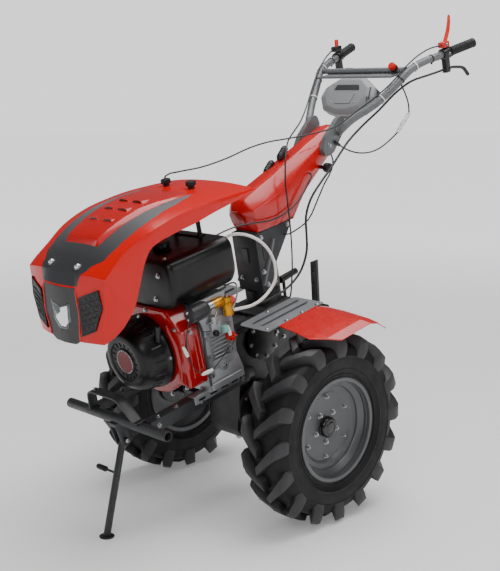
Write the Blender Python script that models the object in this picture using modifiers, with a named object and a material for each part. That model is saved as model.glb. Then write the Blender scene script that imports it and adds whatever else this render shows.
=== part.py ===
"""Two-wheeled walking tractor with a diesel engine, parked on its wheels and front stand.

Everything except the wheels and the stand is laid out level, in the machine frame: x to the
machine's left, y to its rear, z up from the ground of a machine that stands level, with the
wheel axle at y = 0 and z = WHEEL_RADIUS.  The chassis empty then tips that frame nose-down
about the axle, as the short stand makes it rest, and the last step moves the whole machine so
that its box is centred over the origin.
"""

import math

import bmesh
import bpy
from mathutils import Matrix, Vector

# ---------------------------------------------------------------- driving dimensions (metres)
WHEEL_RADIUS = 0.315
TYRE_WIDTH = 0.160
TRACK = 0.736               # between the tyres' middle planes
RIM_RADIUS = 0.172
RIM_WIDTH = 0.134
RIM_SHEET = 0.004
DISC_INSET = 0.055          # from the rim's outer edge to the wheel disc
HUB_RADIUS = 0.075
WHEEL_STEPS = 36
HUB_CAP_RADIUS = 0.034
HUB_CAP_LENGTH = 0.026
AXLE_RADIUS = 0.017
AXLE_END_GAP = 0.004         # from each shaft's inner end to the middle of the machine

NOSE_DOWN = math.radians(12.8)   # lean of the parked machine
SEAT_GAP = 0.0003           # left between pieces that touch
RUNNING_GAP = 0.0008        # between a turning shaft and its bore

RAIL_TOP = 0.510
RAIL_OUTER = 0.150          # half the width over the rails
RAIL_SECTION = 0.040
RAIL_SHEET = 0.005
RAIL_REAR = -0.085

CROSSBAR_Y = -0.527
CROSSBAR_Z = 0.498
CROSSBAR_HALF = 0.249
CROSSBAR_RADIUS = 0.0165
CROSSBAR_WALL = 0.003

STAND_PIVOT = Vector((0.0, -0.522, 0.425))
STAND_LEAN = math.radians(13.3)  # of the parked leg, forward of plumb
STAND_TUBE_RADIUS = 0.0115
STAND_FOOT_RADIUS = 0.024
STAND_FOOT_SHEET = 0.004

ENGINE_FRONT = -0.350       # front face of the blower housing
SHROUD_DEPTH = 0.080
CRANK_HEIGHT = 0.662
CRANKCASE_DEPTH = 0.150
CRANKCASE_TOP = 0.800
HEAD_TOP = 0.905
MUFFLER_RADIUS = 0.050
STARTER_LENGTH = 0.105

TANK_LOW = Vector((-0.095, -0.345, 0.812))
TANK_HIGH = Vector((0.170, -0.072, 0.973))

GEARBOX_HALF = 0.070
GEARBOX_TOP = 0.640
GEARBOX_FRONT = -0.0590
GEARBOX_REAR = 0.235

SWIVEL_Y = 0.175            # the handle column turns about an upright axis here
SWIVEL_RADIUS = 0.062
SWIVEL_TOP = 0.690
TURRET_HALF = 0.058
TURRET_SHEET = 0.006
TURRET_TOP = 0.8967

HOOD_SHEET = 0.003
NOSE_PANEL_SHEET = 0.006
PANEL_ROWS = ((0.982, 0.078), (0.900, 0.084), (0.818, 0.068), (0.808, 0.050))   # z, half-width
LAMP_OUTLINE = ((0.0, 0.922), (0.046, 0.935), (0.040, 0.872), (0.018, 0.848))   # x, z
LAMP_DEPTH = 0.034
LAMP_TAPER = 0.70
HOOD_CAP_X = 0.061
HOOD_CAP_Y = -0.111
HOOD_CAP_Z = 1.1315

HANDLE_TUBE_RADIUS = 0.014
GRIP_RADIUS = 0.0175
GRIP_LENGTH = 0.115
CROSS_TUBE_HALF = 0.1965
CROSS_TUBE_Y = 0.858
CROSS_TUBE_Z = 1.297
CROSS_TUBE_RADIUS = 0.0105

FENDER_HEIGHT = 0.652
FENDER_SHEET = 0.0025
FENDER_SEAM = 0.254

HITCH_HALF = 0.040
HITCH_LOW = 0.430
HITCH_HIGH = 0.520
HITCH_REAR = 0.455
BAR_WIDE = 0.030
BAR_THICK = 0.012

CABLE_PREFIX = "cable_"

# ---------------------------------------------------------------- colours and finishes
FINISHES = {
    "red_paint": ((0.62, 0.012, 0.010, 1.0), 0.25, 0.0),
    "red_plastic": ((0.70, 0.03, 0.02, 1.0), 0.40, 0.0),
    "grey_paint": ((0.085, 0.088, 0.092, 1.0), 0.45, 0.2),
    "light_grey_paint": ((0.22, 0.225, 0.23, 1.0), 0.40, 0.3),
    "black_paint": ((0.012, 0.012, 0.013, 1.0), 0.40, 0.0),
    "black_plastic": ((0.015, 0.015, 0.016, 1.0), 0.55, 0.0),
    "grey_plastic": ((0.16, 0.165, 0.17, 1.0), 0.55, 0.0),
    "cast_aluminium": ((0.38, 0.385, 0.39, 1.0), 0.50, 0.9),
    "bright_steel": ((0.62, 0.62, 0.62, 1.0), 0.30, 1.0),
    "brass": ((0.62, 0.36, 0.08, 1.0), 0.30, 0.9),
    "tyre_rubber": ((0.014, 0.014, 0.015, 1.0), 0.80, 0.0),
    "clear_lens": ((0.75, 0.78, 0.80, 1.0), 0.10, 0.0),
    "white_plastic": ((0.75, 0.75, 0.73, 1.0), 0.50, 0.0),
}


# ---------------------------------------------------------------- scene and helper functions
def clear_scene():
    """Remove what the startup file holds."""
    for obj in list(bpy.data.objects):
        bpy.data.objects.remove(obj)
    for name in ("walking_tractor", "cutters"):
        collection = bpy.data.collections.new(name)
        bpy.context.scene.collection.children.link(collection)


def finish(name):
    """The material of that name, made on first use."""
    material = bpy.data.materials.get(name)
    if material is None:
        colour, roughness, metallic = FINISHES[name]
        material = bpy.data.materials.new(name)
        material.use_nodes = True
        shader = material.node_tree.nodes["Principled BSDF"]
        shader.inputs["Base Color"].default_value = colour
        shader.inputs["Roughness"].default_value = roughness
        shader.inputs["Metallic"].default_value = metallic
    return material


def add_object(name, data, material=None, parent=None):
    """Link an object to the tractor, or to the cutters when it has no material."""
    obj = bpy.data.objects.new(name, data)
    if material is None:
        bpy.data.collections["cutters"].objects.link(obj)
        obj.hide_render = True
        obj.display_type = "WIRE"
    else:
        bpy.data.collections["walking_tractor"].objects.link(obj)
        data.materials.append(finish(material))
    obj.parent = parent
    return obj


def mesh_from(name, bm, smooth_angle=40):
    """Turn a bmesh into a mesh with smooth round faces and sharp edges."""
    bmesh.ops.recalc_face_normals(bm, faces=bm.faces)
    mesh = bpy.data.meshes.new(name)
    bm.to_mesh(mesh)
    bm.free()
    mesh.shade_smooth()
    mesh.set_sharp_from_angle(angle=math.radians(smooth_angle))
    return mesh


def box(name, low, high, material=None, bevel=0.0, parent=None, segments=1):
    """A block between two corners, with rounded edges where bevel is above 0."""
    low, high = Vector(low), Vector(high)
    bm = bmesh.new()
    bmesh.ops.create_cube(bm, size=1.0)
    bmesh.ops.scale(bm, vec=high - low, verts=bm.verts)
    if bevel > 0:
        bmesh.ops.bevel(
            bm, geom=bm.edges[:], offset=bevel, segments=segments, profile=0.5,
            affect="EDGES", material=-1,
        )
    obj = add_object(name, mesh_from(name, bm), material, parent)
    obj.location = (low + high) / 2
    return obj


def aim(obj, start, end):
    """Place an object whose own +Z runs along its length between two points."""
    start, end = Vector(start), Vector(end)
    obj.rotation_mode = "QUATERNION"
    obj.rotation_quaternion = (end - start).to_track_quat("Z", "Y")
    obj.location = (start + end) / 2


def rod(name, start, end, radius, material=None, parent=None, end_radius=None, sides=24, bevel=0.0):
    """A round bar or cone between two points."""
    start, end = Vector(start), Vector(end)
    bm = bmesh.new()
    bmesh.ops.create_cone(
        bm, cap_ends=True, segments=sides, radius1=radius,
        radius2=radius if end_radius is None else end_radius, depth=(end - start).length,
    )
    if bevel > 0:
        rims = [e for e in bm.edges if any(len(f.verts) > 4 for f in e.link_faces)]
        bmesh.ops.bevel(
            bm, geom=rims, offset=bevel, segments=1, profile=0.5, affect="EDGES", material=-1,
        )
    obj = add_object(name, mesh_from(name, bm), material, parent)
    aim(obj, start, end)
    return obj


def turned(name, profile, axis, material=None, parent=None, steps=48):
    """A closed (radius, along) profile turned about x, y or z.

    The Screw modifier turns about z, so the object is then laid along its axis.  The profile
    is put in the order that makes its faces point out, and its edge on the axis is left out.
    """
    pairs = list(zip(profile, profile[1:] + profile[:1]))
    area = sum(a[0] * b[1] - b[0] * a[1] for a, b in pairs)
    points = [(radius, 0.0, along) for radius, along in profile]
    if area > 0:
        points.reverse()
    count = len(points)
    edges = [(i, (i + 1) % count) for i in range(count)]
    edges = [(a, b) for a, b in edges if points[a][0] > 0 or points[b][0] > 0]
    mesh = bpy.data.meshes.new(name)
    mesh.from_pydata(points, edges, [])
    obj = add_object(name, mesh, material, parent)
    screw = obj.modifiers.new("turn", "SCREW")
    screw.steps = steps
    screw.render_steps = steps
    screw.use_merge_vertices = True
    screw.merge_threshold = 0.00005
    turns = {"x": (0.0, math.pi / 2, 0.0), "y": (-math.pi / 2, 0.0, 0.0), "z": (0.0, 0.0, 0.0)}
    obj.rotation_euler = turns[axis]
    return obj


def smooth_path(points, per_span):
    """Points of a smooth curve through the given ones, which may be unevenly spaced.

    Each inner point's slope is the mean of its two chords' slopes, weighted to the shorter one.
    """
    points = [Vector(p) for p in points]
    chords = [b - a for a, b in zip(points, points[1:])]
    slopes = [chords[0].normalized()]
    for before, after in zip(chords, chords[1:]):
        near, far = before.length, after.length
        slopes.append((before * (far / near) + after * (near / far)) / (near + far))
    slopes.append(chords[-1].normalized())
    path = []
    for i, chord in enumerate(chords):
        length = chord.length
        for step in range(per_span):
            t = step / per_span
            path.append(
                points[i] * (2 * t**3 - 3 * t**2 + 1) + points[i + 1] * (3 * t**2 - 2 * t**3)
                + slopes[i] * (length * (t**3 - 2 * t**2 + t))
                + slopes[i + 1] * (length * (t**3 - t**2))
            )
    path.append(points[-1])
    return path


def tube(name, points, radius, material, parent=None, per_span=6, sides=3):
    """A bent round bar along a smooth curve through the points."""
    path = smooth_path(points, per_span) if per_span else [Vector(p) for p in points]
    curve = bpy.data.curves.new(name, "CURVE")
    curve.dimensions = "3D"
    curve.bevel_depth = radius
    curve.bevel_resolution = sides
    curve.use_fill_caps = True
    spline = curve.splines.new("POLY")
    spline.points.add(len(path) - 1)
    for point, place in zip(spline.points, path):
        point.co = (*place, 1.0)
    return add_object(name, curve, material, parent)


def plate(name, outline, thickness, axis, centre, material=None, parent=None, bevel=0.0):
    """A flat plate with a polygon outline, its thickness along x, y or z.

    The outline holds (y, z) pairs for x, (x, z) pairs for y and (x, y) pairs for z.
    """
    places = {
        "x": lambda a, b: (centre - thickness / 2, a, b),
        "y": lambda a, b: (a, centre - thickness / 2, b),
        "z": lambda a, b: (a, b, centre - thickness / 2),
    }
    along = {"x": (thickness, 0, 0), "y": (0, thickness, 0), "z": (0, 0, thickness)}[axis]
    bm = bmesh.new()
    face = bm.faces.new([bm.verts.new(places[axis](a, b)) for a, b in outline])
    grown = bmesh.ops.extrude_face_region(bm, geom=[face])
    top = [v for v in grown["geom"] if isinstance(v, bmesh.types.BMVert)]
    bmesh.ops.translate(bm, vec=along, verts=top)
    if bevel > 0:
        bmesh.ops.recalc_face_normals(bm, faces=bm.faces)
        bmesh.ops.bevel(
            bm, geom=bm.edges[:], offset=bevel, segments=1, profile=0.5, affect="EDGES",
            material=-1,
        )
    return add_object(name, mesh_from(name, bm), material, parent)


def rounded(outline, radius, steps=3):
    """The outline with each corner replaced by an arc; radius may be a list, one a corner."""
    count = len(outline)
    radii = radius if isinstance(radius, (list, tuple)) else [radius] * count
    result = []
    for i, corner in enumerate(outline):
        corner = Vector(corner)
        before = Vector(outline[i - 1]) - corner
        after = Vector(outline[(i + 1) % count]) - corner
        half = before.angle(after) / 2
        if radii[i] <= 0 or half > math.radians(88):
            result.append(tuple(corner))
            continue
        reach = min(radii[i] / math.tan(half), 0.49 * before.length, 0.49 * after.length)
        start, end = corner + before.normalized() * reach, corner + after.normalized() * reach
        for step in range(steps + 1):
            t = step / steps
            result.append(tuple(start * (1 - t) ** 2 + corner * 2 * t * (1 - t) + end * t**2))
    return result


def arc(centre, radius, start, end, steps):
    """Points of an arc, with its angles in degrees."""
    turn = (math.radians(start + (end - start) * i / steps) for i in range(steps + 1))
    return [(centre[0] + radius * math.cos(a), centre[1] + radius * math.sin(a)) for a in turn]


def loft(name, sections, material=None, parent=None, smooth_angle=40):
    """A solid through closed sections that all have as many points."""
    bm = bmesh.new()
    rings = [[bm.verts.new(p) for p in section] for section in sections]
    for a, b in zip(rings, rings[1:]):
        for i in range(len(a)):
            j = (i + 1) % len(a)
            bm.faces.new((a[i], a[j], b[j], b[i]))
    bm.faces.new(rings[0])
    bm.faces.new(rings[-1])
    return add_object(name, mesh_from(name, bm, smooth_angle), material, parent)


def shell(name, rows, thickness, material, parent=None, offset=-1.0, smooth_angle=35):
    """A sheet through rows of points, given its thickness by Solidify."""
    bm = bmesh.new()
    grid = [[bm.verts.new(p) for p in row] for row in rows]
    for a, b in zip(grid, grid[1:]):
        for i in range(len(a) - 1):
            bm.faces.new((a[i], a[i + 1], b[i + 1], b[i]))
    bmesh.ops.remove_doubles(bm, verts=bm.verts, dist=1e-5)
    obj = add_object(name, mesh_from(name, bm, smooth_angle), material, parent)
    wall = obj.modifiers.new("thickness", "SOLIDIFY")
    wall.thickness = thickness
    wall.offset = offset
    wall.use_even_offset = True
    wall.thickness_clamp = 0.0
    return obj


def boolean(obj, other, operation="DIFFERENCE"):
    """Cut an object with another, or join it to one."""
    step = obj.modifiers.new(operation.lower(), "BOOLEAN")
    step.operation = operation
    step.object = other
    step.solver = "EXACT"
    return obj


def join(obj, *others):
    """Union the cutters into the object; they are helpers without a material."""
    for other in others:
        boolean(obj, other, "UNION")
    return obj


def bore(obj, name, start, end, radius, parent=None, sides=32):
    """Cut a round hole through an object."""
    return boolean(obj, rod(name, start, end, radius, None, parent, sides=sides))


# ---------------------------------------------------------------- wheels
def make_wheel(side, name, machine):
    """Tyre, rim and hub with its axle shaft, on one side of the machine."""
    middle = side * TRACK / 2
    spinner = bpy.data.objects.new(f"{name}_wheel_axis", None)
    bpy.data.collections["walking_tractor"].objects.link(spinner)
    spinner.parent = machine
    spinner.location = (middle, 0.0, WHEEL_RADIUS)
    half = TYRE_WIDTH / 2
    bead = RIM_RADIUS - 0.010 + SEAT_GAP
    seat = RIM_WIDTH / 2 - RIM_SHEET - SEAT_GAP
    tyre_profile = [
        (WHEEL_RADIUS, -0.052), (WHEEL_RADIUS, 0.052), (WHEEL_RADIUS - 0.012, half - 0.004),
        (WHEEL_RADIUS - 0.060, half), (RIM_RADIUS + 0.045, half - 0.002),
        (RIM_RADIUS + 0.012, seat), (bead, seat), (bead, seat - 0.016),
        (RIM_RADIUS + 0.010, seat - 0.018), (RIM_RADIUS + 0.050, half - 0.020),
        (WHEEL_RADIUS - 0.055, half - 0.020), (WHEEL_RADIUS - 0.026, half - 0.032),
    ]
    mirrored = [(r, -a) for r, a in reversed(tyre_profile[5:])]
    outer = [(r, -a) for r, a in reversed(tyre_profile[2:5])]
    turned(f"{name}_tyre", tyre_profile[0:12] + mirrored + outer, "x", "tyre_rubber", spinner, WHEEL_STEPS)

    edge = RIM_WIDTH / 2
    s = RIM_SHEET
    well = RIM_RADIUS - 0.030
    seat_radius = RIM_RADIUS - 0.010
    disc = side * (edge - DISC_INSET)
    top = [
        (RIM_RADIUS, -edge), (RIM_RADIUS, -edge + s), (seat_radius, -edge + s),
        (seat_radius, -edge + 0.026), (well, -edge + 0.040), (well, edge - 0.040),
        (seat_radius, edge - 0.026), (seat_radius, edge - s), (RIM_RADIUS, edge - s),
        (RIM_RADIUS, edge), (seat_radius - s, edge),
        (seat_radius - s, edge - 0.026 + 0.002), (well - s, edge - 0.040 + 0.002),
    ]
    bottom = [
        (well - s, -edge + 0.040 - 0.002), (seat_radius - s, -edge + 0.026 - 0.002),
        (seat_radius - s, -edge),
    ]
    hub_hole = AXLE_RADIUS + 0.004
    web = [
        (well - s, disc + s), (0.120, disc + s), (0.110, disc + s / 2), (hub_hole, disc + s / 2),
        (hub_hole, disc - s / 2), (0.110, disc - s / 2), (0.120, disc - s / 2),
        (well - s, disc - s / 2),
    ]
    turned(f"{name}_rim", top + web + bottom, "x", "light_grey_paint", spinner, WHEEL_STEPS)

    inner = abs(disc) - s / 2 - SEAT_GAP
    outer_face = abs(disc) + s / 2 + SEAT_GAP
    reach = TRACK / 2 - AXLE_END_GAP
    profile = [
        (0.0, inner + HUB_CAP_LENGTH), (HUB_CAP_RADIUS * 0.8, inner + HUB_CAP_LENGTH),
        (HUB_CAP_RADIUS, inner + 0.82 * HUB_CAP_LENGTH), (HUB_CAP_RADIUS, outer_face),
        (hub_hole - 2 * SEAT_GAP, outer_face), (hub_hole - 2 * SEAT_GAP, inner),
        (HUB_RADIUS, inner), (HUB_RADIUS, inner - 0.010), (0.034, inner - 0.014),
        (0.030, -0.075), (AXLE_RADIUS, -0.078), (AXLE_RADIUS, -reach), (0.0, -reach),
    ]
    turned(f"{name}_hub", [(r, side * a) for r, a in profile], "x", "black_paint", spinner, 24)


# ---------------------------------------------------------------- frame and stand
def make_frame(chassis):
    """Two angle-iron rails, the front crossbar, the guard and the stand's bracket."""
    inner = RAIL_OUTER - RAIL_SECTION
    front = CROSSBAR_Y + CROSSBAR_RADIUS + SEAT_GAP
    low = RAIL_TOP - RAIL_SECTION
    rails = []
    for side, name in ((1, "frame"), (-1, "frame_right_rail")):
        outline = [
            (side * inner, RAIL_TOP), (side * RAIL_OUTER, RAIL_TOP), (side * RAIL_OUTER, low),
            (side * (RAIL_OUTER - RAIL_SHEET), low),
            (side * (RAIL_OUTER - RAIL_SHEET), RAIL_TOP - RAIL_SHEET),
            (side * inner, RAIL_TOP - RAIL_SHEET),
        ]
        rails.append(plate(name, outline, RAIL_REAR - front, "y", (RAIL_REAR + front) / 2,
                           "grey_paint" if side > 0 else None, chassis))
    crossmember = box("frame_crossmember", (-RAIL_OUTER + 0.001, GEARBOX_FRONT - 0.075, low + 0.008),
                      (RAIL_OUTER - 0.001, GEARBOX_FRONT - SEAT_GAP, RAIL_TOP - 0.001),
                      parent=chassis)
    join(rails[0], rails[1], crossmember)

    bar = rod(
        "front_crossbar", (-CROSSBAR_HALF, CROSSBAR_Y, CROSSBAR_Z),
        (CROSSBAR_HALF, CROSSBAR_Y, CROSSBAR_Z), CROSSBAR_RADIUS, "grey_paint", chassis, sides=28,
    )
    for side in (-1, 1):
        tip = side * (CROSSBAR_HALF + 0.010)
        bore(bar, f"crossbar_mouth_{side}", (tip, CROSSBAR_Y, CROSSBAR_Z),
             (side * 0.160, CROSSBAR_Y, CROSSBAR_Z), CROSSBAR_RADIUS - CROSSBAR_WALL, chassis, 20)

    low = CROSSBAR_Z + CROSSBAR_RADIUS + SEAT_GAP
    strap = 0.006
    outside = [(-0.118, low), (-0.116, low + 0.066), (0.040, low + 0.066), (0.108, low)]
    inside = [(0.108 - 1.45 * strap, low), (0.037, low + 0.066 - strap),
              (-0.116 + strap, low + 0.066 - strap), (-0.118 + strap, low)]
    outline = rounded(outside, [0, 0.030, 0.050, 0]) + rounded(inside, [0, 0.044, 0.024, 0])
    plate("front_guard", outline, 0.034, "y", CROSSBAR_Y, "grey_paint", chassis)

    cheek_gap = STAND_TUBE_RADIUS + 0.0012
    outline = rounded(
        [(CROSSBAR_Y - 0.024, CROSSBAR_Z - 0.006), (CROSSBAR_Y + 0.030, CROSSBAR_Z - 0.006),
         (CROSSBAR_Y + 0.030, STAND_PIVOT.z - 0.012), (CROSSBAR_Y - 0.010, STAND_PIVOT.z - 0.022)],
        [0, 0, 0.014, 0.014],
    )
    width = 2 * (cheek_gap + 0.005)
    bracket = plate("stand_bracket", outline, width, "x", 0.0, None, chassis)
    slot = box(
        "stand_bracket_slot", (-cheek_gap, CROSSBAR_Y - 0.060, STAND_PIVOT.z - 0.060),
        (cheek_gap, CROSSBAR_Y + 0.080, CROSSBAR_Z - CROSSBAR_RADIUS - 0.003), parent=chassis,
    )
    join(bar, bracket)
    boolean(bar, slot)
    bore(bar, "stand_bracket_bore", (-0.05, *STAND_PIVOT.yz), (0.05, *STAND_PIVOT.yz), 0.006,
         chassis, 24)


def machine_to_world(point):
    """A machine-frame point once the chassis is tipped about the axle."""
    axle = Vector((0.0, 0.0, WHEEL_RADIUS))
    return axle + Matrix.Rotation(NOSE_DOWN, 3, "X") @ (Vector(point) - axle)


def make_stand(machine):
    """The leg with its foot and pivot pin, and the kick pedal, on one hinge empty."""
    pivot = machine_to_world(STAND_PIVOT)
    hinge = bpy.data.objects.new("stand_hinge", None)
    bpy.data.collections["walking_tractor"].objects.link(hinge)
    hinge.parent = machine
    hinge.location = pivot
    drop = pivot.z - STAND_FOOT_SHEET
    lean = math.tan(STAND_LEAN)
    ankle = Vector((0.0, -drop * lean, -drop))
    down = ankle.normalized()
    leg = rod("stand_leg", down * -0.014, ankle - down * 0.001, STAND_TUBE_RADIUS, "grey_paint",
              hinge, sides=20)
    foot = rod("stand_foot_cutter", ankle, ankle - Vector((0, 0, STAND_FOOT_SHEET)),
               STAND_FOOT_RADIUS, None, hinge, sides=28)
    pin = rod("stand_pin_cutter", (-0.022, 0, 0), (0.022, 0, 0), 0.0056, None, hinge, sides=20)
    knee = ankle * 0.36
    pedal = rod("stand_pedal", knee, knee - Vector((0.060, 0, 0.0)), 0.004, None, hinge, sides=16)
    sleeve = rod("stand_pedal_sleeve", knee - Vector((0.056, 0, 0)),
                 knee - Vector((0.100, 0, 0)), 0.0075, None, hinge, sides=16)
    join(leg, foot, pin, pedal, sleeve)
    return hinge


# ---------------------------------------------------------------- engine
def make_engine(chassis):
    """Crankcase, blower housing, starter, tank and what hangs on the block."""
    case_front = ENGINE_FRONT + SHROUD_DEPTH + SEAT_GAP
    case_back = case_front + CRANKCASE_DEPTH
    floor = RAIL_TOP + SEAT_GAP
    outline = rounded(
        [(-0.150, floor), (0.168, floor), (0.168, floor + 0.030), (0.150, 0.590), (0.158, 0.740),
         (0.120, CRANKCASE_TOP), (-0.175, CRANKCASE_TOP), (-0.165, 0.720), (-0.140, 0.600),
         (-0.150, floor + 0.030)],
        [0, 0, 0.01, 0.02, 0.02, 0.03, 0.01, 0.02, 0.02, 0.01],
    )
    block = plate("engine_block", outline, CRANKCASE_DEPTH, "y", (case_front + case_back) / 2,
          "cast_aluminium", chassis)

    centre = (0.0, CRANK_HEIGHT)
    housing = arc(centre, 0.150, 205, 318, 10) + rounded(
        [(0.172, 0.545), (0.168, 0.745), (0.110, TANK_LOW.z - 2 * SEAT_GAP),
         (-0.120, TANK_LOW.z - 2 * SEAT_GAP), (-0.150, 0.740)],
        [0.014, 0.030, 0.020, 0.030, 0.030],
    )
    shroud = plate("blower_housing", housing, SHROUD_DEPTH, "y", ENGINE_FRONT + SHROUD_DEPTH / 2,
                   "red_paint", chassis, bevel=0.006)
    fan_eye = rod("blower_eye", (0, ENGINE_FRONT - 0.02, CRANK_HEIGHT),
                  (0, ENGINE_FRONT + 0.030, CRANK_HEIGHT), 0.105, None, chassis, sides=40)
    boolean(shroud, fan_eye)

    front = ENGINE_FRONT - SEAT_GAP
    profile = [
        (0.0, 0.0), (0.122, 0.0), (0.124, -0.014), (0.116, -0.030), (0.106, -0.076),
        (0.094, -0.098), (0.080, -STARTER_LENGTH), (0.042, -STARTER_LENGTH),
        (0.040, -STARTER_LENGTH + 0.003), (0.0, -STARTER_LENGTH + 0.003),
    ]
    starter = turned("recoil_starter", profile, "y", "black_paint", chassis, 32)
    starter.location = (0.0, front, CRANK_HEIGHT)

    x_low, x_high = TANK_LOW.x, TANK_HIGH.x
    outline = rounded(
        [(x_low, TANK_LOW.z), (x_high - 0.035, TANK_LOW.z), (x_high, TANK_LOW.z + 0.045),
         (x_high, TANK_HIGH.z), (x_low, TANK_HIGH.z)],
        [0.020, 0.030, 0.030, 0.034, 0.034],
    )
    tank = plate("fuel_tank", outline, TANK_HIGH.y - TANK_LOW.y, "y", (TANK_HIGH.y + TANK_LOW.y) / 2,
          "black_paint", chassis, bevel=0.005)
    cap = rod("fuel_cap", (0.030, -0.250, TANK_HIGH.z - 0.010),
              (0.030, -0.250, TANK_HIGH.z + 0.024), 0.028, None, chassis, sides=20, bevel=0.003)
    join(tank, cap)

    head_low = CRANKCASE_TOP - 0.010
    side = x_low - SEAT_GAP
    head = box("cylinder_head", (side - 0.076, case_front + 0.012, head_low),
               (side - 0.004, case_back - 0.004, HEAD_TOP), parent=chassis)
    muffler_z = HEAD_TOP + MUFFLER_RADIUS + SEAT_GAP
    rod("muffler", (side - 0.070, -0.335, muffler_z), (side - 0.070, -0.130, muffler_z),
        MUFFLER_RADIUS, "black_paint", chassis, sides=32, bevel=0.010)
    filter_front = case_back - 0.004 + SEAT_GAP
    rod("air_filter", (side - 0.060, filter_front, 0.865), (side - 0.060, filter_front + 0.105, 0.865),
        0.052, "black_plastic", chassis, sides=32, bevel=0.008)

    bracket_x = 0.1545
    sheet = 0.008
    bracket = box("fuel_bracket", (bracket_x, case_front + 0.003, 0.700),
                  (bracket_x + sheet, -0.140, TANK_LOW.z - SEAT_GAP), parent=chassis)
    join(block, head, bracket)
    seat = bracket_x + sheet + SEAT_GAP
    rod("starter_solenoid", (seat + 0.027, -0.318, 0.795), (seat + 0.027, -0.243, 0.795), 0.027,
        "grey_plastic", chassis, sides=24, bevel=0.006)
    rod("stop_solenoid", (seat + 0.016, -0.242, 0.790), (seat + 0.016, -0.172, 0.790), 0.016,
        "brass", chassis, sides=20, bevel=0.003)
    rod("fuel_filter", (seat + 0.017, -0.152, 0.735), (seat + 0.017, -0.152, 0.795), 0.017, "brass",
        chassis, sides=20, bevel=0.003)
    rod("oil_filler_cap", (0.1545, -0.150, 0.660), (0.186, -0.150, 0.660), 0.016, "red_plastic",
        chassis, sides=20, bevel=0.003)
    return case_back


# ---------------------------------------------------------------- gearbox, pedestal and hitch
def make_gearbox(chassis, case_back):
    """Clutch bell, gearbox with its final drive, handle pedestal, hitch and depth bar."""
    front = GEARBOX_FRONT
    bell = rod("clutch_bell", (0, case_back + SEAT_GAP, 0.610), (0, front + 0.012, 0.610), 0.095,
               None, chassis, end_radius=0.080, sides=28)
    outline = rounded(
        [(front, 0.470), (front, GEARBOX_TOP), (GEARBOX_REAR, GEARBOX_TOP), (GEARBOX_REAR, 0.420)],
        [0.010, 0.020, 0.012, 0.060],
    )
    outline += arc((0.0, WHEEL_RADIUS), 0.118, 20, -160, 14)
    gearbox = plate("gearbox", outline, 2 * GEARBOX_HALF, "x", 0.0, "black_paint", chassis)
    boss = GEARBOX_HALF + 0.028
    tunnel = rod("gearbox_boss", (-boss, 0, WHEEL_RADIUS), (boss, 0, WHEEL_RADIUS), 0.042, None,
                 chassis, sides=32)
    swivel_seat = rod("swivel_seat", (0, SWIVEL_Y, GEARBOX_TOP - 0.020),
                      (0, SWIVEL_Y, SWIVEL_TOP), SWIVEL_RADIUS, None, chassis, sides=32)
    join(gearbox, tunnel, swivel_seat, bell)
    bore(gearbox, "gearbox_bore", (-boss - 0.02, 0, WHEEL_RADIUS), (boss + 0.02, 0, WHEEL_RADIUS),
         AXLE_RADIUS + RUNNING_GAP, chassis, 40)


def make_pedestal(chassis):
    """The fixed swivel seat on the gearbox, the fender carrier, the hitch and its depth bar."""
    seat = GEARBOX_TOP + SEAT_GAP
    box("fender_carrier", (-0.165, 0.030, seat), (0.165, 0.090, FENDER_HEIGHT - SEAT_GAP),
        "grey_paint", 0.001, chassis)

    hitch_front = GEARBOX_REAR + SEAT_GAP
    hitch = box("hitch", (-HITCH_HALF, hitch_front, HITCH_LOW), (HITCH_HALF, HITCH_REAR, HITCH_HIGH),
                "black_paint", 0.003, chassis)
    low, high = Vector((0, 0.395, 0.300)), Vector((0, 0.450, 0.694))
    way = (high - low).normalized()
    slot = box("hitch_slot", (-BAR_WIDE / 2 - SEAT_GAP, -BAR_THICK / 2 - SEAT_GAP, -0.3),
               (BAR_WIDE / 2 + SEAT_GAP, BAR_THICK / 2 + SEAT_GAP, 0.3), parent=chassis)
    lean = -math.atan2(way.y, way.z)
    slot.location = (low + high) / 2
    slot.rotation_euler = (lean, 0, 0)
    boolean(hitch, slot)
    half = (high - low).length / 2
    outline = [(-BAR_WIDE / 2, -half), (BAR_WIDE / 2, -half), (BAR_WIDE / 2, half),
               (-BAR_WIDE / 2, half - 0.012)]
    bar = plate("depth_bar", outline, BAR_THICK, "y", 0.0, "grey_paint", chassis)
    bar.location = (low + high) / 2
    bar.rotation_euler = (lean, 0, 0)
    for step in range(6):
        height = half - 0.045 - 0.045 * step
        hole = rod(f"depth_bar_hole_{step}", (0, -0.03, height), (0, 0.03, height), 0.005, None,
                   bar, sides=12)
        boolean(bar, hole)

    stem = GEARBOX_TOP - 0.040
    lever = rod("gear_lever", (0.020, GEARBOX_REAR + SEAT_GAP, stem), (0.020, 0.262, stem), 0.008,
                "black_plastic", chassis, sides=16)
    stalk = rod("gear_lever_stalk", (0.020, 0.256, stem), (0.020, 0.262, 0.688), 0.006, None,
                chassis, sides=16)
    knob = rod("gear_lever_grip", (0.020, 0.246, 0.688), (0.020, 0.330, 0.694), 0.013, None,
               chassis, end_radius=0.011, sides=20)
    join(lever, stalk, knob)


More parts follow.
